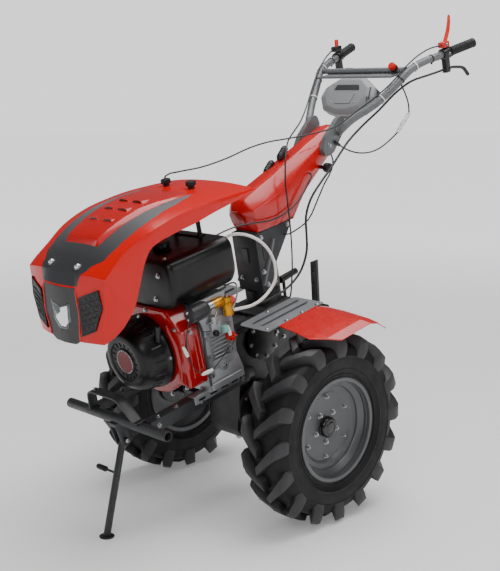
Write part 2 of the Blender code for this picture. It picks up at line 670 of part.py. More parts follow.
def make_fender(side, name, chassis):
    """The ribbed inner plate and the red outer plate of one fender."""
    low = FENDER_HEIGHT
    inner = [(0.115, -0.065), (FENDER_SEAM, -0.065), (FENDER_SEAM, 0.205), (0.115, 0.205)]
    inner = rounded(inner, [0.02, 0.004, 0.004, 0.02])
    plate(f"{name}_fender_inner", [(side * x, y) for x, y in inner], FENDER_SHEET, "z",
          low + FENDER_SHEET / 2, "light_grey_paint", chassis)
    seam = FENDER_SEAM + SEAT_GAP
    rows = []
    for x, y_front, y_rear, drop in (
        (seam, -0.015, 0.215, 0.0), (0.330, -0.030, 0.225, 0.0), (0.415, -0.048, 0.232, -0.004),
        (0.455, -0.015, 0.235, -0.010), (0.484, 0.024, 0.238, -0.024),
    ):
        row = []
        for step in range(7):
            t = step / 6
            y = y_front + (y_rear - y_front) * t
            tail = max(0.0, t - 0.72)
            row.append((side * x, y, low + FENDER_SHEET + drop - 0.40 * tail * (x - seam)
                        - 0.25 * tail**2))
        rows.append(row)
    if side > 0:
        rows.reverse()
    shell(f"{name}_fender_outer", rows, FENDER_SHEET, "red_paint", chassis, offset=-1.0)


# ---------------------------------------------------------------- hood and lamp
HOOD_ROWS = (
    # y, crease half-width, crease z, centre z, lower edge half-width, y and z
    (0.020, 0.200, 1.103, 1.116, 0.203, 0.016, 1.094),
    (-0.070, 0.214, 1.110, 1.128, 0.214, -0.070, 1.089),
    (-0.160, 0.217, 1.116, 1.136, 0.215, -0.160, 1.082),
    (-0.240, 0.213, 1.117, 1.138, 0.211, -0.244, 1.071),
    (-0.320, 0.211, 1.113, 1.134, 0.208, -0.330, 1.065),
    (-0.390, 0.207, 1.101, 1.122, 0.204, -0.410, 1.052),
    (-0.450, 0.198, 1.085, 1.104, 0.200, -0.447, 1.015),
    (-0.510, 0.188, 1.058, 1.080, 0.196, -0.478, 0.955),
    (-0.560, 0.191, 1.030, 1.050, 0.192, -0.505, 0.901),
    (-0.590, 0.192, 1.010, 1.024, 0.188, -0.530, 0.872),
)
NOSE_ROWS = (
    # z, corner y, face y, corner half-width, lower edge half-width, y and z
    (0.975, -0.596, -0.630, 0.186, 0.184, -0.552, 0.852),
    (0.920, -0.604, -0.636, 0.180, 0.178, -0.570, 0.838),
    (0.865, -0.612, -0.640, 0.172, 0.170, -0.586, 0.827),
    (0.815, -0.616, -0.643, 0.158, 0.158, -0.600, 0.818),
)


def hood_section(half, y, z, centre_y, centre_z, low_half, low_y, low_z):
    """One row across the hood, from the left lower edge over the top to the right one."""
    left = [
        (low_half, low_y, low_z),
        ((half + low_half) / 2 + 0.002, (y + low_y) / 2, (z + low_z) / 2),
        (half, y, z),
        (half * 0.80, y + 0.35 * (centre_y - y), z + 0.42 * (centre_z - z)),
        (half * 0.45, y + 0.80 * (centre_y - y), z + 0.82 * (centre_z - z)),
    ]
    right = [(-x, a, b) for x, a, b in reversed(left)]
    return left + [(0.0, centre_y, centre_z)] + right


def nose_face(x, z):
    """The y of the hood's front face at a place on it, between the nose rows."""
    pairs = list(zip(NOSE_ROWS, NOSE_ROWS[1:]))
    high, low = next((pair for pair in pairs if z >= pair[1][0]), pairs[-1])
    t = (z - low[0]) / (high[0] - low[0])
    corner, face, half = (low[i] + t * (high[i] - low[i]) for i in (1, 2, 3))
    share = 1.0 - 0.20 * min(abs(x) / (0.45 * half), 1.0)
    return corner + share * (face - corner)


def nose_slab(name, rows, front, back, material=None, parent=None):
    """A slab that follows the hood's front face, between two depths measured from it."""
    sections = []
    for z, half in rows:
        across = (-half, 0.0, half)
        ring = [(x, nose_face(x, z) + front, z) for x in across]
        ring += [(x, nose_face(x, z) + back, z) for x in reversed(across)]
        sections.append(ring)
    return loft(name, sections, material, parent, smooth_angle=30)


def make_nose(hood, chassis):
    """The black panel in the hood's front opening, and the headlight in the panel."""
    opening = [(z, half + SEAT_GAP) for z, half in PANEL_ROWS]
    opening[0] = (opening[0][0] + SEAT_GAP, opening[0][1])
    opening[-1] = (opening[-1][0] - 0.010, opening[-1][1])
    boolean(hood, nose_slab("nose_opening", opening, -0.020, 0.030, parent=chassis))
    panel = nose_slab("nose_panel", PANEL_ROWS, 0.0, NOSE_PANEL_SHEET, "black_plastic", chassis)
    outline = list(LAMP_OUTLINE) + [(-x, z) for x, z in reversed(LAMP_OUTLINE[1:])]
    middle = sum(z for _, z in outline) / len(outline)
    rings = []
    for scale, depth in ((1.0, 0.0), (1.0, NOSE_PANEL_SHEET), (LAMP_TAPER, LAMP_DEPTH)):
        rings.append([
            (x * scale, nose_face(x, z) + depth, middle + (z - middle) * scale)
            for x, z in outline
        ])
    loft("headlight", rings, "clear_lens", chassis, smooth_angle=30)
    grown = 1.0 + SEAT_GAP / LAMP_OUTLINE[-1][0]
    hole = [
        [(x * grown, nose_face(x, z) + depth, middle + (z - middle) * grown) for x, z in outline]
        for depth in (-0.010, 0.015)
    ]
    boolean(panel, loft("lamp_opening", hole, parent=chassis))


def make_hood(chassis):
    """The hood shell with its nose, its two knobs and the bracket they hold it by."""
    rows = [
        hood_section(half, y, z, y if y > -0.55 else y - 0.020, centre, *low)
        for y, half, z, centre, *low in HOOD_ROWS
    ]
    for z, corner, face, half, low_half, low_y, low_z in NOSE_ROWS:
        rows.append(hood_section(half, corner, z, face, z + 0.004, low_half, low_y, low_z))
    hood = shell("hood", rows, HOOD_SHEET, "red_paint", chassis, offset=-1.0)
    make_nose(hood, chassis)
    strut = 0.0025
    low = TANK_HIGH.z + SEAT_GAP
    foot = box("hood_bracket", (-HOOD_CAP_X - 0.010, HOOD_CAP_Y - 0.014, low),
               (HOOD_CAP_X + 0.010, HOOD_CAP_Y + 0.014, low + 0.004), "black_paint", 0.0, chassis)
    for side, name in ((1, "left"), (-1, "right")):
        x, y, z = side * HOOD_CAP_X, HOOD_CAP_Y, HOOD_CAP_Z
        rod(f"hood_knob_{name}", (x, y, z), (x, y, z + 0.024), 0.016, "black_plastic", chassis,
            sides=20, bevel=0.003)
        strut_bar = box(f"hood_strut_{name}", (x - 0.009, y - strut, low + 0.002),
                        (x + 0.009, y + strut, z - HOOD_SHEET - 2 * SEAT_GAP - 0.0023),
                        parent=chassis)
        join(foot, strut_bar)


# ---------------------------------------------------------------- handle group
COLUMN_SECTIONS = (
    # top edge y and z, bottom edge y and z, half-width
    (0.104, 0.982, 0.118, 0.925, 0.034),
    (0.130, 1.014, 0.146, TURRET_TOP + SEAT_GAP, 0.060),
    (0.200, 1.038, 0.235, TURRET_TOP + SEAT_GAP, 0.068),
    (0.290, 1.062, 0.322, TURRET_TOP + SEAT_GAP, 0.066),
    (0.360, 1.086, 0.400, 0.968, 0.060),
    (0.500, 1.127, 0.545, 1.050, 0.052),
    (0.600, 1.152, 0.628, 1.103, 0.045),
    (0.634, 1.150, 0.646, 1.124, 0.030),
)
BRACKET_X = 0.0534
BRACKET_SHEET = 0.020
HANDLE_PATH = (
    (0.074, 0.585, 1.130), (0.098, 0.632, 1.163), (0.150, 0.715, 1.203), (0.190, 0.800, 1.256),
    (0.215, 0.858, 1.297), (0.232, 0.925, 1.314), (0.2466, 0.980, 1.3185), (0.262, 1.037, 1.3245),
)


def as_mesh(obj):
    """Replace a curve object by a mesh one, so that it can be cut or joined."""
    mesh = bpy.data.meshes.new_from_object(obj.evaluated_get(bpy.context.evaluated_depsgraph_get()))
    bm = bmesh.new()
    bm.from_mesh(mesh)
    bmesh.ops.remove_doubles(bm, verts=bm.verts, dist=1e-5)
    bm.to_mesh(mesh)
    bm.free()
    name, parent, collections = obj.name, obj.parent, obj.users_collection
    bpy.data.objects.remove(obj)
    result = bpy.data.objects.new(name, mesh)
    for collection in collections:
        collection.objects.link(result)
    result.parent = parent
    return result


def mirrored(points, side):
    """The points on the machine's left, or their mirror images on its right."""
    return [Vector((side * x, y, z)) for x, y, z in points]


def make_turret(handle):
    """The channel-shaped turret that turns on the swivel seat, and the column cover on it."""
    low = SWIVEL_TOP + SEAT_GAP
    outline = [(0.122, low), (0.126, TURRET_TOP), (0.300, TURRET_TOP), (0.300, 0.880),
               (0.208, 0.775), (0.208, low)]
    turret = plate("handle_turret", outline, 2 * TURRET_HALF, "x", 0.0, "light_grey_paint", handle)
    pocket = box(
        "turret_pocket", (-TURRET_HALF + TURRET_SHEET, 0.130 + TURRET_SHEET, low + 0.012),
        (TURRET_HALF - TURRET_SHEET, 0.400, 1.0), parent=handle,
    )
    boolean(turret, pocket)
    sections = []
    for top_y, top_z, low_y, low_z, half in COLUMN_SECTIONS:
        def across(x, t, ty=top_y, tz=top_z, ly=low_y, lz=low_z):
            return (x, ty + (ly - ty) * t, tz + (lz - tz) * t)
        left = [across(0.50 * half, 0.0), across(half, 0.30), across(half, 0.72),
                across(0.90 * half, 1.0)]
        right = [(-x, y, z) for x, y, z in reversed(left)]
        sections.append(left + right)
    loft("column_cover", sections, "red_paint", handle, smooth_angle=25)


def make_handlebar(side, name, handle):
    """One handle tube on its bracket, with its grip, lever clamp and lever."""
    outline = rounded(
        [(0.498, 1.092), (0.516, 1.060), (0.556, 1.070), (0.642, 1.148), (0.628, 1.186),
         (0.600, 1.182), (0.530, 1.132)],
        [0.020, 0.030, 0.030, 0.016, 0.012, 0.020, 0.030],
    )
    bracket = plate(f"{name}_bracket_cutter", outline, BRACKET_SHEET, "x",
                    side * (BRACKET_X + BRACKET_SHEET / 2), None, handle)
    bar = tube(f"handlebar_{name}", mirrored(HANDLE_PATH, side), HANDLE_TUBE_RADIUS,
               "light_grey_paint", handle, per_span=4, sides=3)
    bar = as_mesh(bar)
    join(bar, bracket)

    before, end = mirrored(HANDLE_PATH[-2:], side)
    way = (end - before).normalized()
    start = end + way * SEAT_GAP
    rod(f"grip_{name}", start, start + way * GRIP_LENGTH, GRIP_RADIUS, "black_plastic", handle,
        sides=24, bevel=0.004)

    ring_start, ring_end = end - way * 0.038, end - way * 0.006
    clamp = rod(f"lever_clamp_{name}", ring_start, ring_end, 0.021, "black_plastic", handle, sides=24)
    perch = box(f"{name}_perch", (-0.009, -0.013, -0.068), (0.009, 0.013, -0.010), parent=handle)
    perch.location += (ring_start + ring_end) / 2
    join(clamp, perch)
    bore(clamp, f"{name}_clamp_bore", ring_start - way * 0.02, ring_end + way * 0.02,
         HANDLE_TUBE_RADIUS + SEAT_GAP, handle, 24)
    foot = (ring_start + ring_end) / 2 + Vector((0, 0.013 + 4 * SEAT_GAP, -0.056))
    lever = [foot, foot + Vector((0, 0.010, 0)), foot + Vector((side * 0.002, 0.045, -0.005)),
             foot + Vector((side * 0.004, 0.085, -0.018)), foot + Vector((side * 0.005, 0.108, -0.045))]
    tube(f"brake_lever_{name}", lever, 0.0065, "black_plastic", handle, per_span=4, sides=2)


def make_levers(handle):
    """The clutch lever, the throttle lever, and what is on the cross tube between the bars."""
    reach = CROSS_TUBE_HALF
    y, z = CROSS_TUBE_Y, CROSS_TUBE_Z
    cross = rod("handle_cross_tube", (-reach, y, z), (reach, y, z), CROSS_TUBE_RADIUS, "light_grey_paint",
        handle, sides=20)
    for side, name, height, colour in (
        (1, "clutch_lever", 0.100, "red_plastic"), (-1, "throttle_lever", 0.034, "red_plastic"),
    ):
        before, end = mirrored(HANDLE_PATH[-2:], side)
        foot = end - (end - before).normalized() * 0.022 + Vector((0, 0, 0.0228))
        base = box(name, (-0.013, -0.022, 0.0), (0.013, 0.016, 0.020), colour, 0.003, handle)
        base.location += foot
        blade = rod(f"{name}_blade", foot + Vector((0, 0, 0.014)),
                    foot + Vector((side * 0.006, 0.32 * height, height + 0.010)), 0.0085, None,
                    handle, end_radius=0.006, sides=12)
        join(base, blade)
    lift = CROSS_TUBE_RADIUS + SEAT_GAP
    rod("throttle_knob", (0.150, y - 0.75 * lift, z + 0.66 * lift),
        (0.150, y - 0.75 * (lift + 0.026), z + 0.66 * (lift + 0.026)), 0.014, "red_plastic", handle,
        sides=24, bevel=0.003)
    top = z - CROSS_TUBE_RADIUS + 0.001
    wing = box("console_bracket", (-0.172, 0.7965, top - 0.006), (0.172, y + 0.012, top),
               parent=handle)
    join(cross, wing)
    for side, name in ((1, "left"), (-1, "right")):
        knob = rod(f"height_knob_{name}", (side * 0.0519, 0.497, 1.030), (side * 0.082, 0.497, 1.030),
                   0.007, "black_plastic", handle, sides=16)
        head = rod(f"height_knob_head_{name}", (side * 0.076, 0.497, 1.030),
                   (side * 0.096, 0.497, 1.030), 0.017, None, handle, sides=16)
        join(knob, head)


def make_console(handle):
    """The faceted instrument console between the handle tubes."""
    centre = Vector((0.0, 0.740, 1.240))
    across, up, out = Vector((1, 0, 0)), Vector((0, 0.66, 0.75)).normalized(), Vector((0, -0.75, 0.66))
    out.normalize()
    outer = [(0.062, 0.068), (0.118, 0.030), (0.128, -0.010), (0.095, -0.062), (0.030, -0.080)]
    inner = [(0.052, 0.056), (0.092, 0.024), (0.092, -0.010), (0.070, -0.048), (0.026, -0.062)]
    outer += [(-u, v) for u, v in reversed(outer)]
    inner += [(-u, v) for u, v in reversed(inner)]
    layers = ((outer, -0.050), (outer, -0.014), (inner, 0.0))
    sections = [[centre + across * u + up * v + out * n for u, v in ring] for ring, n in layers]
    loft("console", sections, "grey_plastic", handle, smooth_angle=30)


# ---------------------------------------------------------------- cables
STRAIGHT_END = 0.4
THROTTLE_ROUTE = (
    (-0.061, -0.111, 1.1562), (-0.061, -0.111, 1.1600), (-0.0600, -0.102, 1.1645), (-0.057, -0.060, 1.163),
    (-0.050, 0.030, 1.153), (-0.035, 0.150, 1.155), (-0.012, 0.232, 1.168),
    (0.010, 0.301, 1.171), (0.032, 0.378, 1.164), (0.058, 0.470, 1.158), (0.087, 0.560, 1.160),
    (0.118, 0.640, 1.192), (0.150, 0.700, 1.223), (0.183, 0.770, 1.262), (0.206, 0.842, 1.310),
    (0.221, 0.900, 1.338), (0.240, 0.960, 1.354), (0.2558, 0.9924, 1.3559),
)
CLUTCH_ROUTE = (
    (-0.2558, 0.9924, 1.3559), (-0.240, 0.960, 1.354), (-0.221, 0.900, 1.338),
    (-0.206, 0.842, 1.310), (-0.183, 0.770, 1.262), (-0.150, 0.700, 1.223), (-0.118, 0.640, 1.198),
    (-0.070, 0.552, 1.174), (-0.020, 0.460, 1.163), (0.030, 0.375, 1.151), (0.070, 0.314, 1.117),
    (0.090, 0.276, 1.045), (0.093, 0.268, 0.955), (0.092, 0.256, 0.815), (0.088, 0.236, 0.700),
    (0.086, 0.212, 0.636), (0.081, 0.205, 0.622), (0.0745, 0.204, 0.620), (0.0704, 0.204, 0.620),
)
GEAR_ROUTE = (
    (0.2560, 1.0014, 1.2678), (0.252, 0.985, 1.266), (0.235, 0.930, 1.262), (0.207, 0.860, 1.254),
    (0.180, 0.800, 1.225), (0.152, 0.735, 1.180), (0.126, 0.665, 1.140), (0.108, 0.600, 1.100),
    (0.106, 0.540, 1.062), (0.107, 0.490, 1.031), (0.105, 0.430, 0.995), (0.102, 0.370, 0.950),
    (0.101, 0.338, 0.900), (0.101, 0.328, 0.839), (0.101, 0.318, 0.785), (0.101, 0.276, 0.725),
    (0.101, 0.206, 0.690), (0.100, 0.109, 0.680), (0.094, 0.020, 0.684), (0.084, -0.060, 0.692),
    (0.080, -0.100, 0.695), (0.080, -0.1189, 0.695),
)
BRAKE_ROUTE = (
    (0.028, 0.5760, 1.0660), (0.030, 0.584, 1.054), (0.036, 0.584, 1.030), (0.052, 0.550, 1.003),
    (0.072, 0.482, 0.972), (0.077, 0.432, 0.930), (0.075, 0.375, 0.876), (0.071, 0.312, 0.858),
    (0.0680, 0.2625, 0.857), (0.0588, 0.262, 0.857),
)
WIRING_ROUTE = (
    (0.0590, 0.430, 1.028), (0.068, 0.428, 1.025), (0.075, 0.395, 0.995), (0.078, 0.319, 0.948),
    (0.078, 0.260, 0.933), (0.078, 0.181, 0.932), (0.075, 0.111, 0.946), (0.062, 0.050, 0.953),
    (0.050, -0.010, 0.950), (0.047, -0.050, 0.946), (0.047, -0.0714, 0.945),
)
LOOM_ROUTE = (
    (0.105, -0.0714, 0.950), (0.105, -0.056, 0.950), (0.118, -0.025, 0.955), (0.150, 0.020, 0.938),
    (0.176, 0.056, 0.894), (0.190, 0.070, 0.835), (0.197, 0.056, 0.783), (0.199, 0.004, 0.748),
    (0.198, -0.060, 0.736), (0.189, -0.112, 0.742), (0.1832, -0.1341, 0.745),
)
LEAD_ROUTE = (
    (0.166, 0.852, 1.2811), (0.166, 0.852, 1.262), (0.170, 0.868, 1.215), (0.172, 0.880, 1.165),
    (0.171, 0.876, 1.132), (0.164, 0.858, 1.104), (0.152, 0.822, 1.076), (0.140, 0.776, 1.052),
    (0.128, 0.715, 1.036), (0.114, 0.662, 1.040), (0.096, 0.622, 1.056), (0.080, 0.600, 1.075),
    (0.074, 0.588, 1.0870),
)

def cable(name, route, radius, material, parent, per_span=3):
    """A cable along its own route, straight at its ends, against the pieces that hold it."""
    points = [Vector(p) for p in route]
    points.insert(1, points[0].lerp(points[1], STRAIGHT_END))
    points.insert(-1, points[-1].lerp(points[-2], STRAIGHT_END))
    return tube(CABLE_PREFIX + name, points, radius, material, parent, per_span=per_span, sides=2)


def make_cables(chassis, handle):
    """The control cables, the lamp lead with its plug, and the engine's white loom."""
    cable("throttle", THROTTLE_ROUTE, 0.0028, "black_plastic", handle)
    cable("clutch", CLUTCH_ROUTE, 0.0028, "black_plastic", handle)
    cable("gear_select", GEAR_ROUTE, 0.0042, "black_plastic", handle)
    cable("brake", BRAKE_ROUTE, 0.0028, "black_plastic", handle)
    cable("wiring", WIRING_ROUTE, 0.0028, "black_plastic", handle)
    cable("white_loom", LOOM_ROUTE, 0.0052, "white_plastic", chassis)
    lead = as_mesh(cable("lamp_lead", LEAD_ROUTE, 0.0028, "black_plastic", handle))
    before, after = Vector(LEAD_ROUTE[4]), Vector(LEAD_ROUTE[6])
    plug = rod("lamp_plug", before, after, 0.0085, None, handle, sides=16)
    join(lead, plug)


def centre_machine(machine):
    """Move the whole machine along y until its box is centred over the origin."""
    view = bpy.context.evaluated_depsgraph_get()
    reach = []
    for obj in bpy.data.collections["walking_tractor"].objects:
        if obj.type in {"MESH", "CURVE"} and not obj.name.startswith(CABLE_PREFIX):
            ready = obj.evaluated_get(view)
            mesh = ready.to_mesh()
            reach += [(obj.matrix_world @ v.co).y for v in mesh.vertices]
            ready.to_mesh_clear()
    machine.location.y = -(min(reach) + max(reach)) / 2
    bpy.context.view_layer.update()


def make_all():
    """Build the whole machine and centre it over the origin."""
    clear_scene()
    machine = bpy.data.objects.new("machine", None)
    chassis = bpy.data.objects.new("chassis", None)
    swivel = bpy.data.objects.new("handle_swivel", None)
    handle = bpy.data.objects.new("handle", None)
    for empty in (machine, chassis, swivel, handle):
        bpy.data.collections["walking_tractor"].objects.link(empty)
    chassis.parent = machine
    chassis.matrix_local = (
        Matrix.Translation((0, 0, WHEEL_RADIUS)) @ Matrix.Rotation(NOSE_DOWN, 4, "X")
        @ Matrix.Translation((0, 0, -WHEEL_RADIUS))
    )
    swivel.parent = chassis
    swivel.location = (0, SWIVEL_Y, SWIVEL_TOP)
    handle.parent = swivel
    handle.location = -swivel.location
    make_wheel(1, "left", machine)
    make_wheel(-1, "right", machine)
    make_frame(chassis)
    make_stand(machine)
    case_back = make_engine(chassis)
    make_gearbox(chassis, case_back)
    make_pedestal(chassis)
    make_fender(1, "left", chassis)
    make_fender(-1, "right", chassis)
    make_hood(chassis)
    make_turret(handle)
    make_handlebar(1, "left", handle)
    make_handlebar(-1, "right", handle)
    make_levers(handle)
    make_console(handle)
    make_cables(chassis, handle)
    centre_machine(machine)


make_all()
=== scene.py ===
from dataclasses import dataclass
from enum import Enum
import logging
import math
from typing import Iterable, Optional, Sequence

import bmesh
import bpy
from mathutils import Matrix, Vector
from mathutils.bvhtree import BVHTree


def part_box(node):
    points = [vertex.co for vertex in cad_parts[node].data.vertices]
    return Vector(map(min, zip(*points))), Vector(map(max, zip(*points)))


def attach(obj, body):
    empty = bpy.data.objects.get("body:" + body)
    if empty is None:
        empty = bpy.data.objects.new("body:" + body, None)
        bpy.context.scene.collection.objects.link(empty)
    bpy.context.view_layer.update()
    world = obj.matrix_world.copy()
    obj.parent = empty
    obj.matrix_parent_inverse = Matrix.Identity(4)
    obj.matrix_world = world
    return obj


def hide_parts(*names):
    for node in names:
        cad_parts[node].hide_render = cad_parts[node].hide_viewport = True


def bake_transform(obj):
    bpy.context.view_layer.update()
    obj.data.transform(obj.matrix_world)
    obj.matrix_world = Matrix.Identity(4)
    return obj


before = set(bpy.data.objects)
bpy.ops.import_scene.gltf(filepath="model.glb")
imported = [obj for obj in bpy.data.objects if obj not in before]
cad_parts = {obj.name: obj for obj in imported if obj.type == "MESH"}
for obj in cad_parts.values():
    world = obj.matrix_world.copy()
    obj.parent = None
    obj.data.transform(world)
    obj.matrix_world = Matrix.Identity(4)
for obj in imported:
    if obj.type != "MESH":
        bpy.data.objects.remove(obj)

LOG = logging.getLogger("walking_tractor")
Point = Sequence[float]
Tree = bpy.types.NodeTree
Socket = bpy.types.NodeSocket

AXLE_HEIGHT = 0.315
NOSE_DOWN = math.radians(12.8)      # the parked machine leans on its stand
_low, _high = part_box("left_tyre")
AXLE_Y = (_low[1] + _high[1]) / 2
TO_ROW = (Matrix.Translation((0.0, AXLE_Y, AXLE_HEIGHT)) @ Matrix.Rotation(NOSE_DOWN, 4, "X")
          @ Matrix.Translation((0.0, 0.0, -AXLE_HEIGHT)))
TO_WHEEL = Matrix.Translation((0.0, AXLE_Y, AXLE_HEIGHT))
MM = 0.001
WELD = 2e-6                         # points nearer than this are one
ON_PLANE = 1e-7                     # how far a cut counts as on its plane
FLAT = math.radians(1.0)            # faces that turn less than this are one face
ACROSS = Vector((1.0, 0.0, 0.0))
ALONG = Vector((0.0, 1.0, 0.0))
UP = Vector((0.0, 0.0, 1.0))
FORWARD = -ALONG
SIDES = ((1, "left"), (-1, "right"))
NOISE_ROUGHNESS = 0.55              # how rough the edges of every blotch are


class Body(str, Enum):
    """The bodies that pieces ride on."""

    CHASSIS = "chassis"
    HANDLE = "handle"
    STAND = "stand"
    LEFT_WHEEL = "left_wheel"
    RIGHT_WHEEL = "right_wheel"


def linear(code: str) -> tuple[float, float, float, float]:
    """An sRGB hex colour as linear RGBA."""
    parts = [int(code[i:i + 2], 16) / 255.0 for i in (1, 3, 5)]
    return (*(p / 12.92 if p <= 0.04045 else ((p + 0.055) / 1.055) ** 2.4 for p in parts), 1.0)


# ---------------------------------------------------------------- finishes
def blotch_scale(size_mm: float) -> float:
    """The scale of a noise pattern whose blotches are size_mm across on the real surface."""
    return 1000.0 / size_mm / 2.0


def add_node(tree: Tree, kind: str, settings: Optional[dict] = None,
             inputs: Optional[dict] = None) -> bpy.types.Node:
    """Add one node to a material.

    Args:
        tree: the material's node tree.
        kind: the node's type name without its ShaderNode prefix.
        settings: properties of the node.
        inputs: socket name or index to a value, or to the output socket it is linked from.

    Returns:
        The new node.
    """
    node = tree.nodes.new("ShaderNode" + kind)
    for name, value in (settings or {}).items():
        setattr(node, name, value)
    for name, value in (inputs or {}).items():
        if isinstance(value, Socket):
            tree.links.new(value, node.inputs[name])
        else:
            node.inputs[name].default_value = value
    return node


@dataclass(frozen=True)
class Finish:
    """A surface: its base colour, shine, and the grain that its making leaves.

    Grain and mottle sizes are millimetres on the real surface.
    """

    name: str
    colour: str
    slot: str
    roughness: float = 0.5
    metallic: float = 0.0
    ior: float = 1.5
    coat: float = 0.0
    coat_roughness: float = 0.05
    grain_mm: float = 1.0
    grain_height_mm: float = 0.02
    grain_strength: float = 0.3
    mottle_mm: float = 60.0
    mottle: float = 0.08
    rough_spread: float = 0.08

    def material(self) -> bpy.types.Material:
        """The Blender material, made on first use.

        Returns:
            The material.
        """
        found = bpy.data.materials.get(self.name)
        if found is not None:
            return found
        material = bpy.data.materials.new(self.name)
        material.use_nodes = True
        tree = material.node_tree
        tree.nodes.clear()
        where = add_node(tree, "TexCoord").outputs["Object"]
        settings = {"Base Color": self.colour_socket(tree, where), "Metallic": self.metallic,
                    "Roughness": self.roughness_socket(tree, where),
                    "Normal": self.normal_socket(tree, where)}
        if self.coat > 0:
            settings["Coat Weight"] = self.coat
            settings["Coat Roughness"] = self.coat_roughness
        if self.metallic == 0.0:
            settings["IOR"] = self.ior
        shader = add_node(tree, "BsdfPrincipled", None, settings)
        add_node(tree, "OutputMaterial", None, {"Surface": shader.outputs["BSDF"]})
        self.extra(shader)
        return material

    def shade(self, tree: Tree, where: Socket, code: str, spread: float) -> Socket:
        """A colour that is a little darker and lighter over the surface.

        Args:
            tree: the material's node tree.
            where: the place on the surface, in object coordinates.
            code: hex colour in the middle.
            spread: share by which it changes.

        Returns:
            The colour.
        """
        low, high = (tuple(min(1.0, c * k) for c in linear(code)[:3]) + (1.0,)
                     for k in (1.0 - spread, 1.0 + spread))
        blotches = add_node(tree, "TexNoise", None, {"Vector": where, "Roughness": NOISE_ROUGHNESS,
                                                     "Scale": blotch_scale(self.mottle_mm),
                                                     "Detail": 3.0})
        return add_node(tree, "Mix", {"data_type": "RGBA"},
                        {"Factor": blotches.outputs["Fac"], "A": low, "B": high}).outputs[2]

    def colour_socket(self, tree: Tree, where: Socket) -> Socket:
        """The base colour with its slow variation."""
        return self.shade(tree, where, self.colour, self.mottle)

    def roughness_socket(self, tree: Tree, where: Socket) -> Socket:
        """Roughness that is handled smoother and rougher in places.

        Args:
            tree: the material's node tree.
            where: the place on the surface, in object coordinates.

        Returns:
            The roughness.
        """
        low, high = self.roughness - self.rough_spread, self.roughness + self.rough_spread
        blotches = add_node(tree, "TexNoise", None, {"Vector": where, "Roughness": NOISE_ROUGHNESS,
                                                     "Scale": blotch_scale(self.mottle_mm * 0.35),
                                                     "Detail": 3.0})
        return add_node(tree, "MapRange", None,
                        {"Value": blotches.outputs["Fac"], "From Min": 0.3, "From Max": 0.7,
                         "To Min": max(low, 0.03), "To Max": min(high, 1.0)}).outputs["Result"]

    def height(self, tree: Tree, where: Socket) -> Socket:
        """The relief that the bump follows."""
        return add_node(tree, "TexNoise", None, {"Vector": where, "Roughness": NOISE_ROUGHNESS,
                                                 "Scale": blotch_scale(self.grain_mm),
                                                 "Detail": 2.0}).outputs["Fac"]

    def normal_socket(self, tree: Tree, where: Socket) -> Socket:
        """The bumped normal.

        Args:
            tree: the material's node tree.
            where: the place on the surface, in object coordinates.

        Returns:
            The normal.
        """
        node = add_node(tree, "Bump", None, {"Strength": self.grain_strength,
                                             "Distance": self.grain_height_mm * MM,
                                             "Height": self.height(tree, where)})
        return node.outputs["Normal"]

    def extra(self, shader: bpy.types.Node) -> None:
        """What a special finish adds to the shader."""


